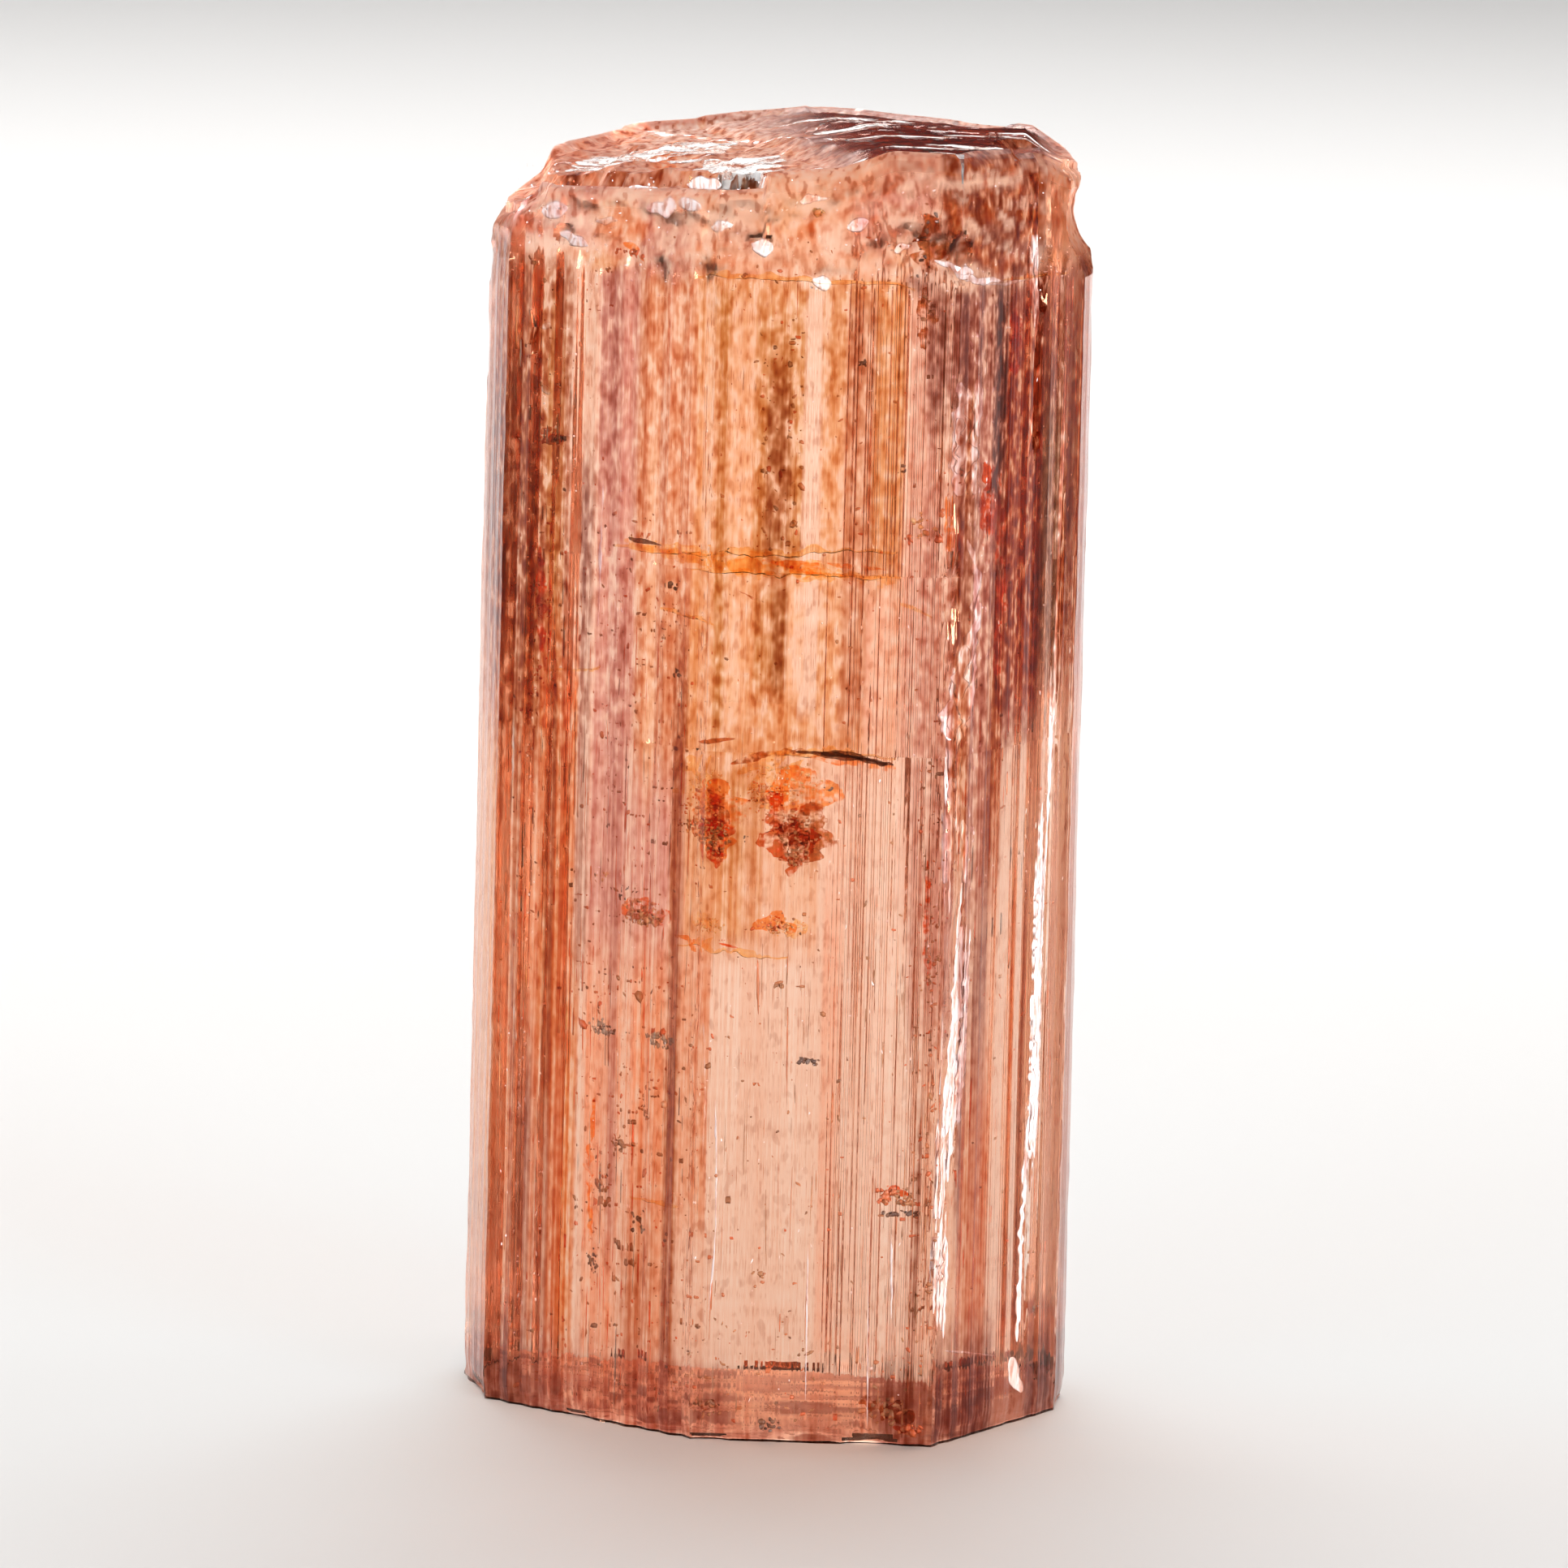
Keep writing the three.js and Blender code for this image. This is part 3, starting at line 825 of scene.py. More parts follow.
def top_tint(places, shelf):
    """Tint of the broken top: whitish pink and amber on the shelf, kept light as painted light, and dark
    red beds with pale edges beside, darkened as painted shade.
    """
    x, y, _ = np.moveaxis(places, -1, 0)
    beds = lattice(spread(x / 1.9, y / 0.42), 61.0) + 0.6 * lattice(spread(x / 0.7, y / 0.2), 62.0)
    blobs = lattice(spread(x / 0.55, y / 0.8), 63.0) + 0.5 * lattice(spread(x / 0.2, y / 0.3), 64.0)
    # Plateau: red beds in orange, darkened as painted shade for the dark grazing view into it.
    dark = np.full(places.shape, ORANGE)
    dark = share_of(dark, RUSSET, smooth(0.60, 0.75, beds))
    dark = share_of(dark, BROWN, smooth(0.85, 1.05, beds))
    dark = share_of(dark, PEACH, smooth(0.52, 0.42, beds))
    # Shelf: whitish pink with amber and russet blobs, kept light as painted light where light from above
    # falls on it.
    pale = np.full(places.shape, SHELF_TINT)
    pale = share_of(pale, APRICOT, smooth(0.80, 1.05, blobs))
    pale = share_of(pale, RUSSET, 0.9 * smooth(0.60, 0.42, blobs))
    seam = smooth(0.45, 0.25, np.abs(x + 3.5)) * smooth(3.0, 1.5, np.abs(y + 0.5))
    pale = share_of(pale, ORANGE, 0.9 * seam)
    return dark + shelf[..., None] * (pale - dark)


def crystal_material(settings):
    """Clear topaz: a body colour from absorption, and zones of tint, streaks and wear on its faces."""
    shader = Shader("clear_topaz")
    streaks = shader.noise(shader.layered(3.2, 0.012), detail=0.0)
    fine = shader.noise(shader.layered(10.0, 0.02), detail=0.0)
    grain = shader.noise(shader.stretched(4.6, 2.4), detail=1.0)
    broken = shader.attribute("broken")
    plateau = shader.attribute("plateau")
    ledge = shader.attribute("ledge")
    upper = shader.smooth(shader.z, 32.0, 33.2)
    calm = 1 - 0.85 * upper

    colour = shader.attribute("tint", out=0)
    colour = shader.mix(shader.smooth(grain, 0.58, 0.68) * (0.15 + 0.4 * broken), colour, RUSSET)
    # Streaks deepen or thin the colour as a thicker or thinner layer would, by a power of it. Glass tints
    # light by the root of its base colour at each face, hence the 2.
    low = shader.smooth(shader.z, 21.0, 17.0)
    depth = (0.24 + 0.04 * low) * (shader.smooth(streaks, 0.55, 0.60) - shader.smooth(streaks, 0.45, 0.40))
    depth = depth + (0.2 + 0.14 * low) * (shader.smooth(fine, 0.54, 0.60) - shader.smooth(fine, 0.46, 0.40))
    depth = depth * calm + (3.6 - 1.8 * low) * (grain - 0.5)
    colour = shader.node("ShaderNodeGamma", None, {"Color": colour, "Gamma": 2.0 * (1 + depth.most(-0.8))})

    worn = ((0.10 + 0.25 * upper) * broken + 0.08 * upper) * (1 - plateau)
    relief = fine * calm + grain * (0.15 + broken + 0.5 * upper)
    shader.absorption(settings.body, settings.density)
    return shader.surface(
        lets_light=True,
        Base_Color=colour,
        Roughness=0.03 + worn + 0.35 * ledge,
        IOR=settings.ior,
        Specular_Tint=(0.40, 0.20, 0.12),
        Transmission_Weight=1.0,
        Normal=shader.bump(relief, 0.4, 0.035),
    )


def worn_top(x, y, inward=1.0):
    """Height of the worn broken top and how far a place is onto the shelf, from 0 on the plateau to 1."""
    top = broken_top(x, y)
    ground = spread(x / 1.7, y / 0.8)
    terraces = np.floor(7 * (lattice(ground, 21.0) + 0.35 * lattice(2.7 * ground, 22.0))) / 7
    shelf = smooth(0.2, -0.8, top - plane(PLATEAU, x, y))
    here = spread(x, y, top)
    bowls = hollows(here, (1.1, 0.8, 0.8), 31.0)
    small = hollows(here, (0.4, 0.3, 0.4), 32.0)
    sunk = 0.10 * terraces + (0.03 + 0.16 * shelf) * bowls + (0.01 + 0.05 * shelf) * small
    return top - inward * sunk, shelf


def crystal_piece(settings):
    """The whole crystal as one closed surface.

    The side is a grid of columns round the section and rows up it, closed by rings towards the axis over
    the broken top and under the base.
    """
    place, outward, face, share, rib, part, sinks = ribbed_section(settings.columns_per_rib)
    columns = len(place)
    lengths = np.hypot(*(np.roll(place, -1, axis=0) - place).T)
    arc = np.concatenate([[0], np.cumsum(lengths)[:-1]])
    face_lengths = np.array([np.hypot(*prism_face(number)[1]) for number in range(len(SECTION))])

    low_rows = LOW_ROWS_END * np.linspace(0, 1, LOW_ROWS + 1)[:-1] ** 1.3
    even_rows = np.linspace(LOW_ROWS_END, EVEN_ROWS_END, EVEN_ROWS + 1)[:-1]
    crack_rows = [height + way * CRACK_ROWS_APART for height in CLEAVAGES[1:] for way in (-1, 1)]
    steps = np.sort(np.concatenate([low_rows, even_rows, crack_rows])) / EVEN_ROWS_END

    def side(z):
        """Side points at the heights z, with grooves, striations, scoops and worn edges."""
        depth = groove_depth(sinks, rib, part, z) * np.where(face == FRONT, FRONT_GROOVE_SHARE, 1.0)
        level = sum((z > height) * 1.0 for height in CLEAVAGES)
        key = spread(arc / 0.085, z / 5.0 + 7 * level)
        wide_key = spread(arc / 0.3, z / 9.0 + 3 * level)
        striae = settings.striation_depth / MM * FACE_ROUGHNESS[face] * (1 - 0.5 * smooth(18.0, 21.0, z))
        depth = depth + striae * lattice(key, 3.0) + 1.6 * striae * lattice(wide_key, 11.0)
        upper = smooth(CLEAVAGES[0] - 0.5, CLEAVAGES[0] + 0.7, z)
        lump_key = spread(arc / 0.75, z / 0.6)
        lumps = lattice(lump_key, 51.0) + 0.5 * lattice(2.3 * lump_key, 52.0)
        calm = smooth(6.5, 3.5, place[:, 0])
        depth = depth * (1 - 0.8 * upper) + settings.lump_depth / MM * upper * (0.4 + 0.6 * calm) * lumps
        flat = shrink(z)[..., None] * (place - outward * depth[..., None])
        points = np.concatenate([flat, z[..., None]], axis=-1)
        points, pushed = scooped(points)
        top = broken_top(points[..., 0], points[..., 1])
        near_rim = smooth(2.2, 0.0, top - z)
        near_base = smooth(0.7, 0.0, z)
        edge_distance = np.minimum(share, 1 - share) * face_lengths[face]
        on_edge = smooth(0.55, 0.05, edge_distance) * (0.35 + 0.65 * lattice(spread(arc, z / 1.3), 5.0))
        worn = 0.55 * near_rim + 0.5 * near_base + 0.35 * on_edge + 1.2 * np.minimum(pushed, 0.3)
        worn = np.clip(worn, 0, 1)
        bowls = hollows(points, (0.9, 0.9, 0.7), 2.0)
        small = hollows(points, (0.35, 0.35, 0.3), 9.0)
        chip = settings.chip_depth / MM * worn * (bowls + 0.35 * small)
        round_rim = settings.rim_round / MM * (0.5 + lattice(spread(arc / 1.1, 0 * z), 15.0))
        reach = np.clip(1 - (top - z) / round_rim, 0, 0.97)
        chip = chip + round_rim * (1 - np.sqrt(1 - reach**2))
        points[..., :2] -= chip[..., None] * outward
        return points, np.clip(worn + 3 * pushed, 0, 1)

    rim_z = np.full(columns, RIM_GUESS)
    for _ in range(RIM_PASSES):
        rim, _ = side(rim_z[None, :])
        rim_z = broken_top(rim[0, :, 0], rim[0, :, 1])
    lower = np.minimum(EVEN_ROWS_END, rim_z - RIM_REACH)
    upper = np.linspace(0, 1, settings.rim_rows) ** 0.85
    heights = np.concatenate([steps[:, None] * lower, lower + upper[:, None] * (rim_z - lower)])
    points, broken = side(heights)

    shares = np.linspace(1, 0, settings.top_rings + 1)[1:-1]
    centre = np.array(TOP_CENTRE)
    flat = centre + shares[:, None, None] * (points[-1, :, :2] - centre)
    height, shelf = worn_top(flat[..., 0], flat[..., 1], smooth(1.0, 0.93, shares)[:, None])
    cap = np.concatenate([flat, height[..., None]], axis=-1)

    base = BASE_RINGS[:, None, None] * points[0] * np.array([1, 1, 0])
    middle_top = np.array([[*centre, cap[-1, :, 2].mean()]])
    middle_base = np.zeros((1, 3))
    sides = np.concatenate([points, cap], axis=0)
    everything = np.concatenate([sides.reshape(-1, 3), base.reshape(-1, 3), middle_top, middle_base])
    base_first = sides.shape[0] * columns
    quads = grid_quads(sides.shape[0], columns)
    under = grid_quads(len(base), columns, first=base_first)[:, ::-1]
    ring = np.arange(columns)
    following = np.roll(ring, -1)
    skirt = np.stack([following, ring, base_first + ring, base_first + following], axis=-1)
    last_top = (sides.shape[0] - 1) * columns + ring
    last_base = base_first + (len(base) - 1) * columns + ring
    triangles = [fan(len(everything) - 2, last_top, True), fan(len(everything) - 1, last_base, False)]
    bottom = np.full(base[..., 0].size + 2, 0.2)
    near_top = smooth(0.45, 0.0, broken_top(points[..., 0], points[..., 1]) - points[..., 2])
    cap_tint = top_tint(cap, shelf).reshape(-1, 3)
    rest = np.concatenate([base.reshape(-1, 3), middle_top, middle_base])
    masks = {
        "broken": np.concatenate([broken.ravel(), (0.4 + 0.6 * shelf).ravel(), bottom]),
        "plateau": np.concatenate([0 * broken.ravel(), (1 - shelf).ravel(), 0 * bottom]),
        "ledge": np.concatenate([(0.8 * near_top).ravel(), shelf.ravel(), 0 * bottom]),
        "tint": np.concatenate([side_tint(points).reshape(-1, 3), cap_tint, side_tint(rest)]),
    }
    quads = np.concatenate([quads, under, skirt])
    piece = mesh_object("crystal", everything, quads, np.concatenate(triangles), masks)
    piece.data.shade_smooth()
    piece.data.set_sharp_from_angle(angle=math.radians(settings.crisp_angle))
    return piece


# Flaws inside the crystal, by their place across X and up Z behind the front faces

CRACKS = (
    # left and right ends, height, droop along it, how far it reaches in, ripple
    (-2.6, 3.4, 32.5, 0.15, 1.6, 0.10),
    (-4.7, 3.1, 24.7, -0.35, 2.6, 0.16),
    (-2.6, 3.2, 24.35, 0.05, 2.8, 0.12),
    (-0.6, 3.2, 19.3, -0.10, 1.9, 0.09),
    (-3.4, -1.9, 23.1, 0.1, 1.0, 0.12),
    (-2.7, 0.4, 13.9, 0.2, 1.6, 0.20),
    (3.2, 4.1, 23.6, 0.35, 0.5, 0.08),
    (5.9, 7.7, 32.4, 0.05, 1.3, 0.12),
    (-6.6, -5.1, 21.0, -0.2, 1.1, 0.14),
    (-3.9, -2.6, 6.6, 0.1, 0.8, 0.12),
)


def crack_parts():
    """Cracks: thin level sheets from the face inwards, rippled by noise and ragged at the far side."""
    parts = []
    for number, (left, right, height, droop, reach, ripple) in enumerate(CRACKS):
        t = np.linspace(0, 1, 70)
        key = spread(t * (right - left) / 0.5, 17 * number)
        z = height - droop * t + ripple * (lattice(key) - 0.5)
        z = z + 0.4 * ripple * (lattice(3 * key, 4.0) - 0.5)
        taper = np.sin(math.pi * np.clip(t, 0.02, 0.98)) ** 0.5
        deep = 0.12 + reach * taper * (0.35 + 0.65 * lattice(2 * key, 8.0))
        x = left + (right - left) * t
        near, _, _ = front_place(x, z, 0.12)
        far, _, _ = front_place(x, z + 0.25 * (lattice(key, 12.0) - 0.5), deep)
        thick = np.zeros((len(t), 3))
        thick[:, 2] = 0.012 + 0.03 * taper * lattice(2.5 * key, 6.0)
        parts.append(strip(near, far, thick))
    return parts


# Tones of iron, as places on its ramp of colours
GOLD_TONE, ORANGE_TONE, RED_TONE, BROWN_TONE, DARK_TONE, GREY_TONE = 0.0, 0.2, 0.4, 0.6, 0.8, 1.0

STAINS = (
    # x, z, depth in from the face, half-width, half-height, grains, grain size, tone
    (-6.65, 27.5, 0.5, 0.30, 0.26, 26, 0.13, RED_TONE),
    (-6.30, 27.45, 0.5, 0.08, 0.10, 5, 0.09, DARK_TONE),
    (-2.10, 17.5, 0.3, 0.80, 0.60, 120, 0.055, 0.33),
    (-1.72, 17.0, 0.3, 0.48, 0.50, 90, 0.062, BROWN_TONE),
    (-1.65, 16.6, 0.3, 0.28, 0.30, 34, 0.065, RED_TONE),
    (-1.85, 16.75, 0.25, 0.10, 0.12, 6, 0.070, DARK_TONE),
    (-2.50, 17.2, 0.5, 0.12, 0.14, 6, 0.070, DARK_TONE),
    (-2.75, 17.3, 0.5, 0.05, 0.30, 7, 0.055, BROWN_TONE),
    (-0.85, 16.95, 0.4, 0.07, 0.09, 4, 0.070, DARK_TONE),
    (-2.00, 18.3, 0.7, 0.75, 0.50, 90, 0.045, ORANGE_TONE),
    (0.20, 17.5, 0.8, 0.70, 0.50, 70, 0.055, 0.52),
    (0.60, 17.1, 0.7, 0.60, 0.62, 90, 0.060, BROWN_TONE),
    (0.55, 16.5, 0.6, 0.34, 0.34, 50, 0.070, 0.54),
    (-0.45, 18.1, 0.7, 0.45, 0.45, 60, 0.050, 0.33),
    (0.10, 18.6, 0.8, 1.10, 0.60, 170, 0.042, ORANGE_TONE),
    (1.35, 18.4, 0.6, 0.10, 0.08, 4, 0.060, DARK_TONE),
    (-3.75, 14.60, 0.3, 0.60, 0.36, 110, 0.075, 0.30),
    (-3.55, 14.40, 0.25, 0.40, 0.20, 40, 0.080, 0.26),
    (-4.25, 15.1, 0.5, 0.24, 0.36, 14, 0.060, DARK_TONE),
    (-0.10, 14.60, 0.5, 0.45, 0.22, 40, 0.055, 0.33),
    (0.35, 14.50, 0.5, 0.55, 0.30, 46, 0.050, ORANGE_TONE),
    (-1.9, 14.5, 0.5, 0.60, 0.22, 34, 0.045, ORANGE_TONE),
    (-4.95, 15.5, 0.4, 0.16, 0.20, 8, 0.08, ORANGE_TONE),
    (3.37, 25.4, 0.4, 0.10, 0.10, 5, 0.09, RED_TONE),
    (4.27, 26.15, 0.4, 0.13, 0.10, 6, 0.09, RED_TONE),
    (4.27, 25.45, 0.4, 0.13, 0.12, 6, 0.09, RED_TONE),
    (3.75, 25.75, 0.5, 0.45, 0.40, 22, 0.09, ORANGE_TONE),
    (3.25, 7.10, 0.3, 0.30, 0.26, 26, 0.11, RED_TONE),
    (3.80, 7.05, 0.3, 0.28, 0.24, 22, 0.11, BROWN_TONE),
    (3.70, 6.58, 0.25, 0.55, 0.07, 20, 0.10, DARK_TONE),
    (0.88, 10.80, 0.25, 0.20, 0.07, 9, 0.09, DARK_TONE),
    (1.22, 10.78, 0.25, 0.14, 0.10, 7, 0.08, DARK_TONE),
    (0.15, 12.9, 0.4, 0.18, 0.10, 6, 0.09, BROWN_TONE),
    (-2.96, 21.4, 0.4, 0.16, 0.10, 7, 0.09, DARK_TONE),
    (-3.2, 23.8, 0.4, 0.25, 0.14, 7, 0.08, DARK_TONE),
    (-3.1, 22.9, 0.5, 0.35, 0.35, 12, 0.06, BROWN_TONE),
    (2.03, 30.2, 0.4, 0.16, 0.06, 5, 0.08, DARK_TONE),
    (3.15, 27.3, 0.4, 0.10, 0.22, 6, 0.07, DARK_TONE),
    (-8.2, 32.8, 0.3, 0.10, 0.14, 6, 0.10, BROWN_TONE),
    (-7.2, 32.4, 0.3, 0.10, 0.14, 5, 0.09, BROWN_TONE),
    (-4.5, 32.85, 0.3, 0.45, 0.12, 12, 0.10, RED_TONE),
    (-5.2, 32.3, 0.3, 0.25, 0.08, 7, 0.07, BROWN_TONE),
    (0.69, 34.3, 0.3, 0.20, 0.08, 7, 0.09, ORANGE_TONE),
    (-1.2, 32.5, 0.25, 0.12, 0.08, 5, 0.08, BROWN_TONE),
    (3.7, 34.0, 0.9, 0.40, 0.40, 8, 0.09, DARK_TONE),
    (3.5, 32.9, 0.9, 0.30, 0.50, 6, 0.08, DARK_TONE),
    (3.7, 31.5, 0.7, 0.25, 0.60, 14, 0.09, BROWN_TONE),
    (6.38, 30.9, 0.3, 0.14, 0.20, 9, 0.08, RED_TONE),
    (6.38, 30.1, 0.3, 0.12, 0.16, 7, 0.08, RED_TONE),
    (6.6, 24.9, 0.5, 0.18, 0.30, 9, 0.08, ORANGE_TONE),
    (-4.84, 11.2, 0.3, 0.38, 0.26, 26, 0.09, GREY_TONE),
    (-4.70, 11.1, 0.25, 0.30, 0.20, 9, 0.07, DARK_TONE),
    (-3.17, 11.1, 0.3, 0.48, 0.24, 26, 0.09, GREY_TONE),
    (-3.5, 9.3, 0.3, 0.25, 0.50, 20, 0.08, BROWN_TONE),
    (-4.95, 4.5, 0.3, 0.24, 0.38, 26, 0.07, DARK_TONE),
    (-4.2, 10.0, 0.4, 0.16, 0.25, 9, 0.07, BROWN_TONE),
    (-4.2, 8.0, 0.3, 0.30, 0.50, 20, 0.09, BROWN_TONE),
    (-4.9, 6.7, 0.3, 0.30, 0.20, 10, 0.09, BROWN_TONE),
    (-3.7, 5.9, 0.3, 0.35, 0.35, 12, 0.09, DARK_TONE),
    (-0.2, 4.6, 0.3, 0.20, 0.30, 7, 0.08, BROWN_TONE),
    (7.69, 3.1, 0.25, 0.10, 0.08, 5, 0.08, DARK_TONE),
    (4.55, 4.45, 0.3, 0.10, 0.20, 6, 0.07, BROWN_TONE),
    (4.15, 0.42, 0.3, 0.40, 0.16, 18, 0.10, RED_TONE),
    (0.25, 0.45, 0.3, 0.35, 0.18, 16, 0.11, DARK_TONE),
    (3.5, 0.9, 0.5, 0.60, 0.40, 26, 0.12, BROWN_TONE),
    (-1.6, 0.9, 0.4, 0.50, 0.30, 18, 0.09, BROWN_TONE),
    (-6.9, 23.0, 0.4, 0.35, 1.60, 26, 0.06, RED_TONE),
    (-6.8, 20.6, 0.4, 0.40, 0.80, 20, 0.07, RED_TONE),
    (4.9, 17.6, 0.3, 0.25, 1.80, 26, 0.06, BROWN_TONE),
    (4.4, 14.0, 0.3, 0.22, 1.40, 26, 0.07, BROWN_TONE),
    (-3.1, 35.0, 0.6, 0.12, 0.10, 6, 0.09, ORANGE_TONE),
)

SPECK_FIELDS = (
    # left, right, bottom, top, specks, size
    (-5.6, -2.3, 2.5, 13.5, 330, 0.040),
    (-5.4, -2.6, 3.0, 13.0, 60, 0.085),
    (-7.6, -2.3, 0.4, 2.8, 110, 0.05),
    (-2.3, 4.4, 0.3, 3.2, 130, 0.045),
    (-2.3, 4.4, 3.2, 19.0, 230, 0.034),
    (-2.3, 1.4, 2.0, 13.0, 22, 0.070),
    (-5.2, -2.5, 14.0, 26.0, 380, 0.035),
    (-7.8, -5.2, 12.0, 32.0, 300, 0.04),
    (-2.0, 4.5, 20.0, 32.0, 150, 0.030),
    (-0.8, 0.5, 24.0, 31.5, 120, 0.045),
    (4.8, 8.1, 0.5, 33.0, 240, 0.035),
    (-7.8, 4.5, 32.0, 35.0, 90, 0.030),
    (3.9, 4.8, 2.0, 20.0, 200, 0.04),
)


def face_axes(along, side, tilt):
    """The three directions of a grain along a face, turned by tilt about the face's outward side."""
    up = np.zeros_like(along)
    up[..., 2] = 1.0
    first = np.cos(tilt)[:, None] * along + np.sin(tilt)[:, None] * up
    second = np.cos(tilt)[:, None] * up - np.sin(tilt)[:, None] * along
    return np.stack([first, second, side], axis=-2)


def grains(seed, x, z, inset, sizes, tilt, tones, around=8):
    """Oval grains behind the front faces: mesh arrays, and each grain's tone at all its points."""
    centre, along, side = front_place(x, z, inset)
    arrays = pebbles(centre, face_axes(along, side, tilt), sizes, seed, around)
    return arrays, np.repeat(tones, len(arrays[0]) // len(seed))


def gathered(groups):
    """Groups of grains as one: joined mesh arrays and point tones."""
    parts, tones = zip(*groups)
    return joined(parts), np.concatenate(tones)


def grain_tilt(seed):
    """A turn of up to 1.5 either way."""
    return 3.0 * (chance(seed + 0.4) - 0.5)


def stain_arrays():
    """Stains: oval grains strewn by fixed random numbers, thick at the middle of each stain."""
    groups = []
    for number, (x, z, inset, wide, high, count, size, tone) in enumerate(STAINS):
        seed = 500 * number + np.arange(count)
        radius = np.sqrt(chance(seed))
        turn = 2 * math.pi * chance(seed + 0.3)
        grain_x = x + wide * radius * np.cos(turn)
        grain_z = z + high * radius * np.sin(turn)
        depth = inset * (0.6 + 0.8 * chance(seed + 0.6))
        half = size * (0.3 + 0.8 * chance(seed + 0.8)) * (1.15 - 0.5 * radius)
        shape = spread(0.8 + 0.8 * chance(seed + 0.1), 0.6 + 0.6 * chance(seed + 0.2), 0.5)
        tones = tone + 0.16 * (chance(seed + 0.9) - 0.5)
        groups.append(grains(seed, grain_x, grain_z, depth, half[:, None] * shape, grain_tilt(seed), tones))
    return gathered(groups)


def strewn(field, seed):
    """Random places across a field given as left, right, bottom and top."""
    left, right, bottom, top = field
    return left + (right - left) * chance(seed), bottom + (top - bottom) * chance(seed + 0.25)


def speck_arrays():
    """Specks: tiny grains strewn behind the front faces, most of them shallow."""
    groups = []
    for number, (*field, count, size) in enumerate(SPECK_FIELDS):
        seed = SPECK_SEED + 5000 * number + np.arange(count)
        depth = 0.15 + 1.6 * chance(seed + 0.5) ** 2
        half = size * (0.4 + 1.5 * chance(seed + 0.8) ** 3)
        shape = spread(0.8 + 1.4 * chance(seed + 0.1) ** 2, 0.6 + 0.5 * chance(seed + 0.2), 0.5)
        tones = 0.42 + 0.32 * chance(seed + 0.9)
        place = strewn(field, seed)
        groups.append(grains(seed, *place, depth, half[:, None] * shape, grain_tilt(seed), tones, around=6))
    return gathered(groups)


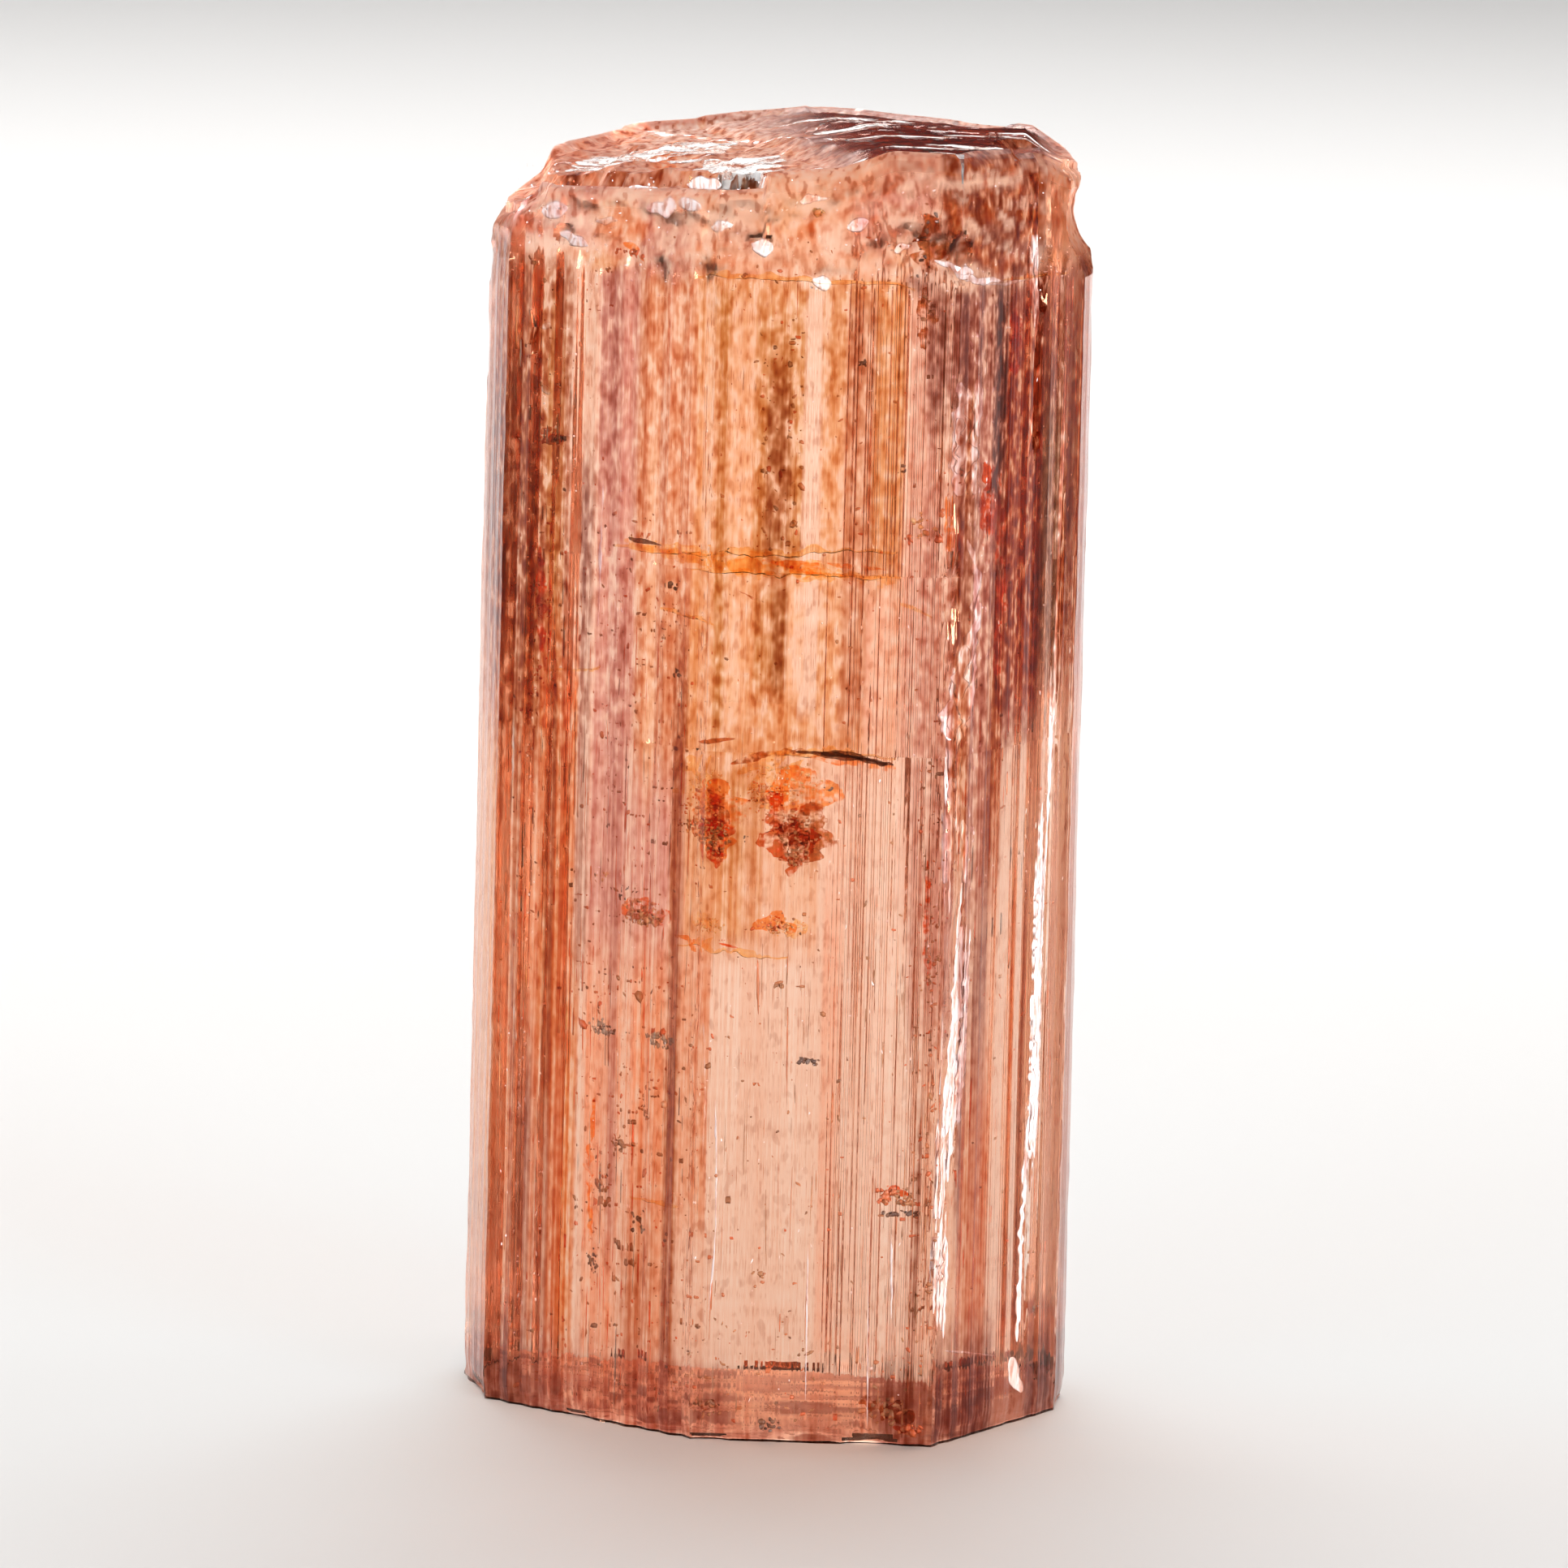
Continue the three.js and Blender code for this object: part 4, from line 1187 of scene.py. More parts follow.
FILMS = (
    # path of x, z; half-width at its start and end; depth in from the face; tone
    (((-2.90, 19.1), (-2.40, 18.5), (-2.00, 17.8)), 0.50, 0.80, 0.9, GOLD_TONE),
    (((-1.85, 18.6), (-1.75, 17.4), (-1.70, 16.1)), 1.00, 0.40, 0.42, ORANGE_TONE),
    (((-1.85, 18.2), (-1.75, 17.1), (-1.65, 16.1)), 0.80, 0.40, 0.37, 0.48),
    (((-1.75, 17.9), (-1.72, 17.0), (-1.65, 16.4)), 0.60, 0.30, 0.32, BROWN_TONE),
    (((-0.8, 19.3), (-0.2, 18.5), (0.1, 17.7)), 0.80, 0.90, 0.95, GOLD_TONE),
    (((0.5, 19.0), (0.6, 18.3), (0.6, 17.6)), 1.00, 0.90, 0.95, ORANGE_TONE),
    (((-0.30, 18.2), (0.20, 17.3), (0.50, 16.2)), 0.80, 0.70, 0.85, 0.50),
    (((0.90, 18.0), (0.80, 17.3), (0.70, 16.3)), 0.80, 0.60, 0.80, BROWN_TONE),
    (((0.10, 17.7), (0.40, 17.0), (0.60, 16.3)), 0.40, 0.56, 0.75, BROWN_TONE),
    (((0.80, 17.0), (0.55, 16.5), (0.38, 15.9)), 0.50, 0.26, 0.65, 0.52),
    (((0.45, 19.44), (1.6, 19.40), (2.4, 19.30), (3.15, 19.15)), 0.12, 0.14, 0.2, DARK_TONE),
    (((0.9, 19.46), (1.9, 19.36), (3.0, 19.18)), 0.10, 0.12, 0.18, DARK_TONE),
    (((-1.3, 19.05), (-0.3, 19.35), (0.8, 19.46)), 0.10, 0.16, 0.25, BROWN_TONE),
    (((0.80, 19.30), (2.0, 19.20), (3.20, 19.05)), 0.10, 0.18, 0.35, ORANGE_TONE),
    (((-2.3, 19.6), (-1.2, 19.75)), 0.07, 0.05, 0.3, BROWN_TONE),
    (((-4.40, 14.6), (-3.7, 14.55), (-3.0, 14.5)), 0.45, 0.40, 0.55, 0.32),
    (((-4.05, 14.9), (-3.6, 14.4)), 0.34, 0.30, 0.60, 0.32),
    (((-0.60, 14.45), (-0.05, 14.65), (0.60, 14.45)), 0.22, 0.36, 0.6, ORANGE_TONE),
    (((0.20, 14.35), (0.65, 14.45), (0.95, 14.55)), 0.22, 0.30, 0.7, GOLD_TONE),
    (((-2.5, 14.6), (-1.5, 14.45)), 0.30, 0.24, 0.6, GOLD_TONE),
    (((-2.9, 14.1), (-2.3, 13.9), (-1.9, 13.95)), 0.10, 0.20, 0.5, ORANGE_TONE),
    (((-1.5, 14.0), (-1.0, 13.9)), 0.04, 0.06, 0.4, RED_TONE),
    (((-4.6, 24.90), (-2.6, 24.72), (-0.6, 24.55), (0.8, 24.45), (1.8, 24.3)), 0.30, 0.34, 0.45, GOLD_TONE),
    (((-3.6, 24.75), (-1.6, 24.60), (0.4, 24.40), (1.3, 24.30)), 0.16, 0.26, 0.40, GOLD_TONE),
    (((-0.6, 24.70), (0.5, 24.60), (1.3, 24.40)), 0.12, 0.22, 0.35, ORANGE_TONE),
    (((1.4, 24.35), (2.4, 24.25), (3.2, 24.2)), 0.20, 0.18, 0.35, GOLD_TONE),
    (((-4.4, 24.98), (-3.4, 24.90)), 0.08, 0.05, 0.25, DARK_TONE),
    (((0.9, 24.75), (1.8, 24.60), (2.9, 24.55)), 0.08, 0.06, 0.35, ORANGE_TONE),
    (((-1.2, 23.85), (-0.5, 23.55)), 0.05, 0.05, 0.3, BROWN_TONE),
    (((4.7, 26.6), (4.9, 25.6), (5.0, 24.6)), 0.25, 0.16, 0.7, ORANGE_TONE),
    (((5.8, 27.4), (5.9, 26.0), (5.85, 24.6)), 0.25, 0.20, 0.8, RED_TONE),
    (((6.25, 27.0), (6.3, 24.0), (6.3, 21.0)), 0.22, 0.16, 0.9, RED_TONE),
    (((6.38, 31.6), (6.42, 30.6), (6.4, 29.7)), 0.20, 0.16, 0.5, RED_TONE),
    (((-6.8, 27.5), (-6.3, 27.45)), 0.26, 0.18, 0.5, RED_TONE),
    (((-6.95, 24.4), (-6.9, 23.0), (-6.8, 21.4)), 0.16, 0.24, 0.7, RED_TONE),
    (((-4.75, 33.1), (-4.4, 32.95), (-4.1, 32.6)), 0.16, 0.12, 0.45, ORANGE_TONE),
    (((3.65, 34.3), (3.8, 33.6), (3.6, 32.7)), 0.44, 0.50, 0.9, BROWN_TONE),
    (((3.7, 32.3), (3.75, 31.4), (3.7, 30.6)), 0.34, 0.26, 0.9, BROWN_TONE),
    (((2.6, 1.2), (3.4, 1.0), (4.2, 0.7)), 0.26, 0.34, 0.6, BROWN_TONE),
    (((3.6, 0.5), (4.4, 0.4)), 0.18, 0.20, 0.35, RED_TONE),
    (((-1.9, 1.0), (-1.2, 0.8)), 0.20, 0.22, 0.5, BROWN_TONE),
    (((3.3, 7.2), (3.9, 7.1)), 0.16, 0.14, 0.45, RED_TONE),
    (((4.15, 16.5), (4.2, 14.6), (4.25, 13.0)), 0.10, 0.16, 0.4, RED_TONE),
    (((-5.1, 9.4), (-5.2, 7.0), (-5.15, 4.6)), 0.10, 0.12, 0.5, ORANGE_TONE),
)
# White veils, partly films of air along cracks and partly painted highlights: the white streaks down the
# front edges and the white spots in the broken band stand for reflections of the lamps.
VEILS_AND_HIGHLIGHTS = (
    # path of x, z; half-width; depth in from the face
    (((4.95, 29.9), (5.05, 29.2), (4.95, 28.3), (5.05, 26.6)), 0.36, 0.14),
    (((5.25, 29.7), (5.28, 28.2)), 0.11, 0.14),
    (((5.10, 25.4), (5.40, 24.4), (5.25, 23.4)), 0.11, 0.14),
    (((5.45, 23.8), (5.20, 22.6), (5.05, 21.0), (4.95, 19.0)), 0.44, 0.15),
    (((4.80, 22.4), (4.85, 18.0), (4.90, 15.0)), 0.24, 0.16),
    (((5.40, 22.2), (5.30, 20.4)), 0.10, 0.16),
    (((5.20, 17.6), (5.30, 15.8)), 0.10, 0.16),
    (((5.45, 16.4), (5.42, 14.0), (5.34, 12.6), (5.15, 9.6), (4.95, 7.4)), 0.22, 0.20),
    (((5.15, 10.5), (4.95, 8.2), (4.80, 6.2)), 0.16, 0.30),
    (((5.00, 6.6), (4.95, 5.0), (4.90, 3.2)), 0.22, 0.30),
    (((5.1, 5.6), (5.05, 3.0)), 0.07, 0.2),
    (((6.85, 35.2), (6.80, 33.5), (6.88, 31.8), (7.05, 30.4)), 0.16, 0.32),
    (((7.10, 29.9), (6.92, 28.8), (6.72, 27.4)), 0.08, 0.22),
    (((7.70, 29.8), (7.70, 24.0), (7.68, 20.9), (7.62, 17.3), (7.5, 13.0)), 0.035, 0.12),
    (((7.60, 21.4), (7.62, 18.0)), 0.06, 0.14),
    (((7.32, 8.7), (7.22, 5.0), (7.16, 2.3)), 0.09, 0.16),
    (((7.50, 18.5), (7.46, 12.0), (7.42, 4.0)), 0.15, 0.24),
    (((7.02, 1.9), (7.15, 1.3), (7.30, 0.8)), 0.22, 0.14),
    (((3.9, 33.1), (4.5, 32.9), (5.1, 32.7)), 0.24, 0.26),
    (((4.6, 32.7), (5.2, 32.5), (5.9, 32.4)), 0.16, 0.26),
    (((5.3, 32.4), (6.0, 32.3), (6.7, 32.35)), 0.05, 0.2),
    (((-7.45, 20.1), (-7.42, 18.6), (-7.46, 17.6)), 0.07, 0.16),
    (((-7.38, 13.2), (-7.30, 11.6), (-7.2, 10.4)), 0.05, 0.16),
    (((-7.46, 24.0), (-7.44, 22.0)), 0.03, 0.14),
    (((2.84, 4.6), (2.92, 0.5)), 0.02, 0.14),
    (((1.15, 5.6), (1.18, 1.2)), 0.02, 0.14),
    (((3.45, 6.0), (3.50, 3.6)), 0.03, 0.14),
    (((-5.15, 26.4), (-5.22, 22.4)), 0.05, 0.3),
    (((-2.1, 12.2), (-1.9, 9.5), (-2.0, 7.8)), 0.05, 0.5),
    (((-1.5, 9.6), (-1.4, 6.0), (-1.55, 3.5)), 0.03, 0.4),
    (((-6.94, 30.5), (-6.62, 30.65)), 0.09, 0.18),
    (((-6.9, 28.9), (-6.6, 28.7)), 0.10, 0.22),
    (((-6.5, 33.2), (-5.7, 32.9)), 0.20, 0.28),
    (((-7.0, 33.7), (-6.3, 33.9)), 0.20, 0.30),
    (((-5.5, 33.6), (-4.9, 33.7)), 0.15, 0.30),
    (((-4.1, 34.1), (-3.3, 34.3)), 0.24, 0.30),
    (((-2.3, 33.8), (-1.6, 33.9)), 0.17, 0.30),
    (((0.2, 34.6), (1.0, 34.7)), 0.17, 0.30),
    (((1.5, 33.9), (2.1, 34.1)), 0.18, 0.30),
    (((2.8, 33.3), (3.2, 33.5)), 0.13, 0.28),
    (((-3.2, 34.4), (-2.6, 34.3)), 0.22, 0.26),
    (((-3.2, 34.85), (-2.2, 34.95)), 0.22, 0.55),
    (((-4.7, 34.6), (-3.9, 34.7)), 0.10, 0.35),
    (((-1.1, 33.4), (-0.5, 33.25)), 0.22, 0.26),
    (((0.60, 32.5), (1.1, 32.3)), 0.18, 0.24),
    (((-4.2, 35.4), (-3.6, 35.55)), 0.08, 0.3),
    (((5.1, 2.65), (6.5, 2.1)), 0.04, 0.2),
)


def sliver(number, path, start, end, inset):
    """A thin ragged strip along a path behind a face, its half-width from start to end, pinched shut."""
    path = np.array(path)
    steps = np.hypot(*np.diff(path, axis=0).T)
    reached = np.concatenate([[0], np.cumsum(steps)])
    count = int(24 + 12 * reached[-1])
    t = np.linspace(0, 1, count)
    x = np.interp(t * reached[-1], reached, path[:, 0])
    z = np.interp(t * reached[-1], reached, path[:, 1])
    way = spread(np.gradient(x), np.gradient(z))
    way /= np.hypot(*way.T)[:, None]
    key = spread(t * reached[-1] / 0.22, 13 * number)
    half = (start + (end - start) * t) * np.sin(math.pi * np.clip(t, 0.004, 0.996)) ** 0.45
    left = half * (0.25 + 1.1 * lattice(key, 1.0))
    right = half * (0.25 + 1.1 * lattice(key, 2.0))
    wander = 0.7 * half * (lattice(0.3 * key, 3.0) - 0.5)
    first, _, side = front_place(x + wander - left * way[:, 1], z + left * way[:, 0], inset)
    second, _, _ = front_place(x + wander + right * way[:, 1], z - right * way[:, 0], inset + 0.04)
    return strip(first, second, 0.012 * side)


STRANDS = 8
NARROW_WHITE_STRIP = 0.12
SHORT_WHITE_STRIP = 2.2


def strands(number, path, half, inset):
    """A long wide white strip, of the veils and painted highlights, as thinner strands side by side, each
    over its own stretch of the path.
    """
    path = np.array(path)
    reached = np.concatenate([[0], np.cumsum(np.hypot(*np.diff(path, axis=0).T))])
    if half < NARROW_WHITE_STRIP or reached[-1] < SHORT_WHITE_STRIP:
        return [sliver(number, path, half, half, inset)]
    parts = []
    for strand in range(STRANDS):
        seed = 60 * number + strand
        first = 0.6 * chance(seed)
        last = first + (1 - first) * (0.4 + 0.6 * chance(seed + 0.2))
        t = np.linspace(first, last, 6) * reached[-1]
        x = np.interp(t, reached, path[:, 0]) + 1.7 * half * (chance(seed + 0.4) - 0.5)
        z = np.interp(t, reached, path[:, 1])
        own = half * (0.26 + 0.55 * chance(seed + 0.6) ** 2)
        parts.append(sliver(seed, spread(x, z), own, own, inset + 0.02 * strand))
    return parts


def veil_and_highlight_arrays():
    """White veils and painted highlights as mesh arrays, and each point's place between its strand's two
    sides, 0 on them.
    """
    parts = [part for number, veil in enumerate(VEILS_AND_HIGHLIGHTS) for part in strands(number, *veil)]
    between = np.sin(2 * math.pi * np.arange(STRIP_AROUND) / STRIP_AROUND) ** 2
    edges = [np.concatenate([np.tile(between, len(part[0]) // STRIP_AROUND), [0, 0]]) for part in parts]
    return joined(parts), np.concatenate(edges)


# Frosted patches on the broken top, partly painted highlight: white where the top catches light from above
# and the left.
FROSTS_AND_HIGHLIGHTS = (
    # x, y, half-length, half-width, turn in degrees on the broken top
    (-1.5, -3.0, 1.30, 1.50, -8.0),
    (-1.2, -4.6, 0.80, 0.60, -10.0),
    (-2.6, 1.2, 0.90, 1.60, -15.0),
    (-3.0, -1.2, 0.50, 0.50, 0.0),
    (-4.8, 0.8, 1.20, 0.90, -20.0),
    (-5.4, -0.9, 0.90, 0.50, -30.0),
    (-7.55, -0.9, 0.45, 1.20, 5.0),
    (-6.9, -2.2, 0.70, 0.40, -35.0),
    (-4.9, -3.4, 1.20, 0.40, -35.0),
    (-2.9, -4.9, 1.10, 0.40, -35.0),
    (0.6, -5.6, 1.50, 0.35, -2.0),
    (3.2, -6.0, 1.20, 0.28, 0.0),
    (4.9, -3.7, 1.30, 0.10, 2.0),
    (1.6, 0.4, 1.10, 0.22, 4.0),
    (2.6, 2.2, 1.40, 0.16, -3.0),
    (6.9, -2.9, 0.70, 0.25, 50.0),
    (3.4, -4.8, 1.60, 0.07, 2.0),
    (5.5, -1.3, 1.30, 0.08, -3.0),
    (3.1, -1.8, 1.40, 0.07, 0.0),
    (5.2, 1.5, 1.10, 0.08, 2.0),
    (1.0, 3.4, 1.30, 0.14, 0.0),
    (6.2, -0.2, 0.90, 0.06, 4.0),
    (2.2, 3.0, 1.10, 0.10, 3.0),
)


# How far flakes keep inside the prism faces, how high they lie on the top, and how thick they are
FLAKE_CLEARANCE = 0.85
FLAKE_LIFT = 0.02
FLAKE_THICK = 0.012


def flake(number, x, y, long, wide, turn):
    """A thin ragged patch that hugs the broken top: rings of points out to its edge and back underneath."""
    around = 60
    angle = 2 * math.pi * np.arange(around) / around
    circle = spread(np.cos(angle), np.sin(angle))
    ragged = 0.65 + 0.7 * lattice(2.6 * circle + 9.0 * number, 71.0)
    shares = np.linspace(0, 1, 14)[1:]
    reach = shares[:, None] * ragged
    across, along = long * reach * circle[:, 0], wide * reach * circle[:, 1]
    angle = math.radians(turn)
    flat_x = x + math.cos(angle) * across - math.sin(angle) * along
    flat_y = y + math.sin(angle) * across + math.cos(angle) * along
    for face in range(len(SECTION)):
        start, _, side = prism_face(face)
        past = (flat_x - start[0]) * side[0] + (flat_y - start[1]) * side[1] + FLAKE_CLEARANCE
        flat_x, flat_y = flat_x - np.maximum(past, 0) * side[0], flat_y - np.maximum(past, 0) * side[1]
    height, _ = worn_top(flat_x, flat_y)
    upper = spread(flat_x, flat_y, height + FLAKE_LIFT + FLAKE_THICK * (1 - shares[:, None] ** 2))
    lower = upper[-2::-1] - np.array([0, 0, FLAKE_THICK])
    middle, _ = worn_top(np.array([x]), np.array([y]))
    poles = np.array([[x, y, middle[0] + 0.035], [x, y, middle[0] + 0.02]])
    return capped(np.concatenate([upper, lower]), poles, flip=True)


# The first random seed of each kind of grain
SPECK_SEED, NEEDLE_SEED, GLINT_SEED = 90000, 200000, 300000

NEEDLES = (
    # left, right, bottom, top, count, half-width, half-length, tone
    (-5.6, -2.4, 1.0, 22.0, 150, 0.014, 0.80, RED_TONE),
    (-5.6, -2.4, 1.0, 22.0, 60, 0.012, 0.90, DARK_TONE),
    (-2.4, 4.4, 0.5, 14.0, 130, 0.012, 1.00, BROWN_TONE),
    (-2.4, 2.4, 14.0, 32.0, 50, 0.010, 0.50, BROWN_TONE),
    (-7.8, -5.6, 2.0, 31.0, 150, 0.018, 0.55, RED_TONE),
    (-7.8, -5.6, 2.0, 31.0, 90, 0.018, 0.50, ORANGE_TONE),
    (-7.8, -6.0, 14.0, 30.0, 60, 0.020, 0.50, DARK_TONE),
    (4.8, 8.1, 1.0, 32.0, 130, 0.018, 0.60, RED_TONE),
    (4.8, 8.1, 14.0, 32.0, 70, 0.020, 0.60, DARK_TONE),
    (6.1, 7.0, 18.0, 31.0, 60, 0.025, 0.40, RED_TONE),
    (3.9, 4.8, 2.0, 20.0, 60, 0.014, 0.40, BROWN_TONE),
)

# Glints: small white grains that paint the sparkle of light on the broken band and down the front edges.
GLINTS = (
    # left, right, bottom, top, count, half-width, half-length
    (-7.2, -6.1, 14.0, 31.0, 260, 0.030, 0.050),
    (-7.6, -6.4, 2.0, 14.0, 120, 0.026, 0.070),
    (-7.9, -3.2, 31.6, 35.0, 190, 0.035, 0.030),
    (-3.2, 4.3, 32.0, 35.2, 150, 0.035, 0.030),
    (4.9, 8.0, 31.0, 35.2, 150, 0.032, 0.040),
    (4.9, 6.1, 15.0, 31.0, 170, 0.026, 0.110),
    (6.9, 8.1, 14.0, 31.0, 90, 0.024, 0.090),
    (-5.4, -2.4, 1.0, 31.0, 170, 0.018, 0.060),
    (-2.4, 4.6, 1.0, 31.0, 170, 0.018, 0.060),
)


def needle_arrays(fields, first_seed):
    """Thin upright needles, or glints, strewn in fields behind the front faces.

    A field with no tone is one of glints, white grains that paint highlights, which are turned every way
    along the face.
    """
    groups = []
    for number, (left, right, bottom, top, count, half, length, *tone) in enumerate(fields):
        seed = first_seed + 3000 * number + np.arange(count)
        depth = 0.12 + 0.8 * chance(seed + 0.5) ** 2
        width = half * (0.5 + 1.1 * chance(seed + 0.8) ** 2)
        tall = length * (0.3 + 1.2 * chance(seed + 0.1) ** 2)
        sizes = spread(width, tall, 0.6 * width)
        tilt = 0.05 * (chance(seed + 0.4) - 0.5) + (0.0 if tone else 0.8) * (chance(seed + 0.45) - 0.5)
        tones = (tone[0] if tone else 0.0) + 0.2 * (chance(seed + 0.9) - 0.5)
        place = strewn((left, right, bottom, top), seed)
        groups.append(grains(seed, *place, depth, sizes, tilt, tones, around=6))
    return gathered(groups)


# Colours of the skin just above the base
BASE_PEACH = (0.95, 0.62, 0.46)
BASE_ROSE = (0.62, 0.30, 0.21)
BASE_BROWN = (0.42, 0.17, 0.12)
BASE_RED = (0.30, 0.06, 0.035)
BASE_DARK = (0.30, 0.09, 0.05)


def base_arrays():
    """The splintered skin just above the base: a thin lumpy sheet out to the prism faces, closed below.

    Also gives a colour at each point, rose and peach with brown towards the right.
    """
    place, outward, _, _, _, _, sinks = ribbed_section(1)
    rim = shrink(0.0) * (place - outward * (sinks[:, None] + 0.14))
    shares = np.linspace(0, 1, 40)[1:]
    flat = shares[:, None, None] * rim
    x, y = flat[..., 0], flat[..., 1]
    lumps = lattice(spread(x / 0.8, y / 0.8), 81.0) + 0.5 * lattice(spread(x / 0.3, y / 0.3), 82.0)
    upper = spread(x, y, 0.06 + 0.16 * lumps * smooth(1.0, 0.9, shares)[:, None])
    lower = upper[-2::-1] * np.array([1, 1, 0]) + np.array([0, 0, BASE_CLEARANCE])
    poles = [[0, 0, 0.15], [0, 0, BASE_CLEARANCE]]
    arrays = capped(np.concatenate([upper, lower]), poles, flip=True)
    places = arrays[0]
    patch = lattice(spread(places[:, 0] / 1.3, places[:, 1] / 0.9), 83.0)
    wander = places[:, 0] + 0.8 * (patch - 0.5)
    colour = np.full(places.shape, BASE_PEACH)
    colour = share_of(colour, BASE_ROSE, smooth(0.45, 0.70, patch))
    colour = share_of(colour, BASE_BROWN, 0.9 * smooth(-4.2, -5.6, wander))
    colour = share_of(colour, BASE_RED, smooth(2.9, 3.4, wander) * smooth(5.0, 4.4, wander))
    colour = share_of(colour, BASE_BROWN, smooth(4.8, 5.4, wander))
    colour = share_of(colour, BASE_DARK, smooth(0.34, 0.18, patch))
    return arrays, colour


def film_arrays():
    """Iron films, each one sliver. Gives their joined mesh arrays and the tone of each point."""
    parts = [sliver(70 + number, *film[:4]) for number, film in enumerate(FILMS)]
    tones = [np.full(len(part[0]), film[4]) for part, film in zip(parts, FILMS)]
    return joined(parts), np.concatenate(tones)


# A film is so thin that light passes it almost unbent
FILM_IOR = 1.002


def iron_tones(settings):
    """Stops of the ramp of iron colours: a grain's or film's tone runs from gold at 0 to grey at 1."""
    colours = (settings.gold, settings.orange, settings.red, settings.brown, settings.dark, settings.grey)
    return tuple((0.2 * number, tuple(colour)) for number, colour in enumerate(colours))


def stain_material(settings):
    """Iron stain: dull grains from orange through red to dark brown, or grey, by their own tone."""
    shader = Shader("iron_stain")
    tone = shader.attribute("tone")
    grain = shader.noise(shader.place, scale=9.0, detail=1.0)
    sockets = {"Fac": tone + 0.12 * (grain - 0.5)}
    colour = shader.node("ShaderNodeValToRGB", {"stops": iron_tones(settings)}, sockets)
    colour = shader.vector("SCALE", colour, 0.6)
    return shader.surface(Base_Color=colour, Roughness=0.5, Normal=shader.bump(grain, 0.4, 0.02))


def base_material():
    """The splintered base: a dull skin with a colour of its own at each point, mottled by noise."""
    shader = Shader("base_skin")
    grain = shader.noise(shader.place, scale=3.5, detail=3.0)
    colour = shader.attribute("colour", out=0)
    colour = shader.mix(shader.smooth(grain, 0.52, 0.66), colour, (0.36, 0.12, 0.07))
    return shader.surface(Base_Color=colour, Roughness=0.5, Normal=shader.bump(grain, 0.5, 0.05))


def film_material(settings):
    """Iron film: a clear glaze that turns light gold to brown by its own tone, thinner in patches."""
    shader = Shader("iron_film")
    tone = shader.attribute("tone")
    patches = shader.noise(shader.place, scale=2.2, detail=3.0)
    fine = shader.noise(shader.place, scale=8.0, detail=2.0)
    sockets = {"Fac": tone + 0.4 * (fine - 0.5)}
    colour = shader.node("ShaderNodeValToRGB", {"stops": iron_tones(settings)}, sockets)
    thick = shader.smooth(patches + 0.5 * (fine - 0.5), 0.34, 0.56)
    thick = thick.most(shader.smooth(tone, 0.64, 0.76) * 0.9)
    return shader.surface(
        lets_light=True,
        Base_Color=shader.mix(thick, PALE, colour),
        Roughness=0.05,
        IOR=FILM_IOR,
        Transmission_Weight=1.0,
    )


def crack_material(settings):
    """Crack: a thin glazed sheet that turns light golden orange in broken patches."""
    shader = Shader("crack_film")
    patches = shader.noise(shader.place, scale=1.6, detail=3.0)
    colour = shader.mix(shader.smooth(patches, 0.42, 0.58), tuple(settings.crack), (1.0, 0.84, 0.58))
    return shader.surface(
        lets_light=True,
        Base_Color=colour,
        Roughness=0.05,
        IOR=FILM_IOR,
        Transmission_Weight=1.0,
    )


def veil_and_highlight_material(settings):
    """White veils and painted highlights: films of air along cracks, pinkish white to tan, broken into
    slivers along the crystal. The same white paints the highlights and the glints.
    """
    shader = Shader("veil")
    slivers = shader.noise(shader.stretched(9.0, 1.6), detail=2.0)
    fine = shader.noise(shader.place, scale=14.0, detail=1.0)
    colour = shader.mix(shader.smooth(slivers, 0.35, 0.55), (0.86, 0.56, 0.48), tuple(settings.veil))
    soft = shader.smooth(shader.attribute("edge"), -0.3, 0.4)
    return shader.surface(
        Base_Color=colour,
        Roughness=0.3,
        Alpha=soft * (0.7 + 0.3 * shader.smooth(slivers + 0.25 * fine, 0.46, 0.60)),
    )


def frost_and_highlight_material():
    """Frosted skin: splintered and whitish on the broken top, thick in patches that lie level. Its white is
    partly a painted highlight, where the top catches the light.
    """
    shader = Shader("frost_and_highlight")
    patches = shader.noise(shader.vector("MULTIPLY", shader.place, (1.3, 3.0, 3.0)), detail=3.0)
    fine = shader.noise(shader.place, scale=9.0, detail=2.0)
    colour = shader.mix(shader.smooth(patches, 0.42, 0.60), (0.98, 0.76, 0.68), (1.0, 0.98, 0.98))
    return shader.surface(
        Base_Color=colour,
        Roughness=0.4,
        Alpha=shader.smooth(patches + 0.6 * (fine - 0.5), 0.36, 0.56) * 0.95,
        Normal=shader.bump(fine, 0.5, 0.03),
    )


# Settings


def length_property(name, description, millimetres):
    """A length whose default is given in millimetres."""
    default = millimetres * MM
    return bpy.props.FloatProperty(name=name, description=description, default=default, unit="LENGTH")


def angle_property(name, description, degrees):
    """An angle whose default is given in degrees."""
    default = math.radians(degrees)
    return bpy.props.FloatProperty(name=name, description=description, default=default, subtype="ANGLE")


def colour_property(name, description, default):
    """A colour of three numbers."""
    return bpy.props.FloatVectorProperty(
        name=name, description=description, default=default, subtype="COLOR"
    )


def count_property(name, description, default, least):
    """A whole number with a least value."""
    return bpy.props.IntProperty(name=name, description=description, default=default, min=least)


def number_property(name, description, default):
    """A number without a unit."""
    return bpy.props.FloatProperty(name=name, description=description, default=default)


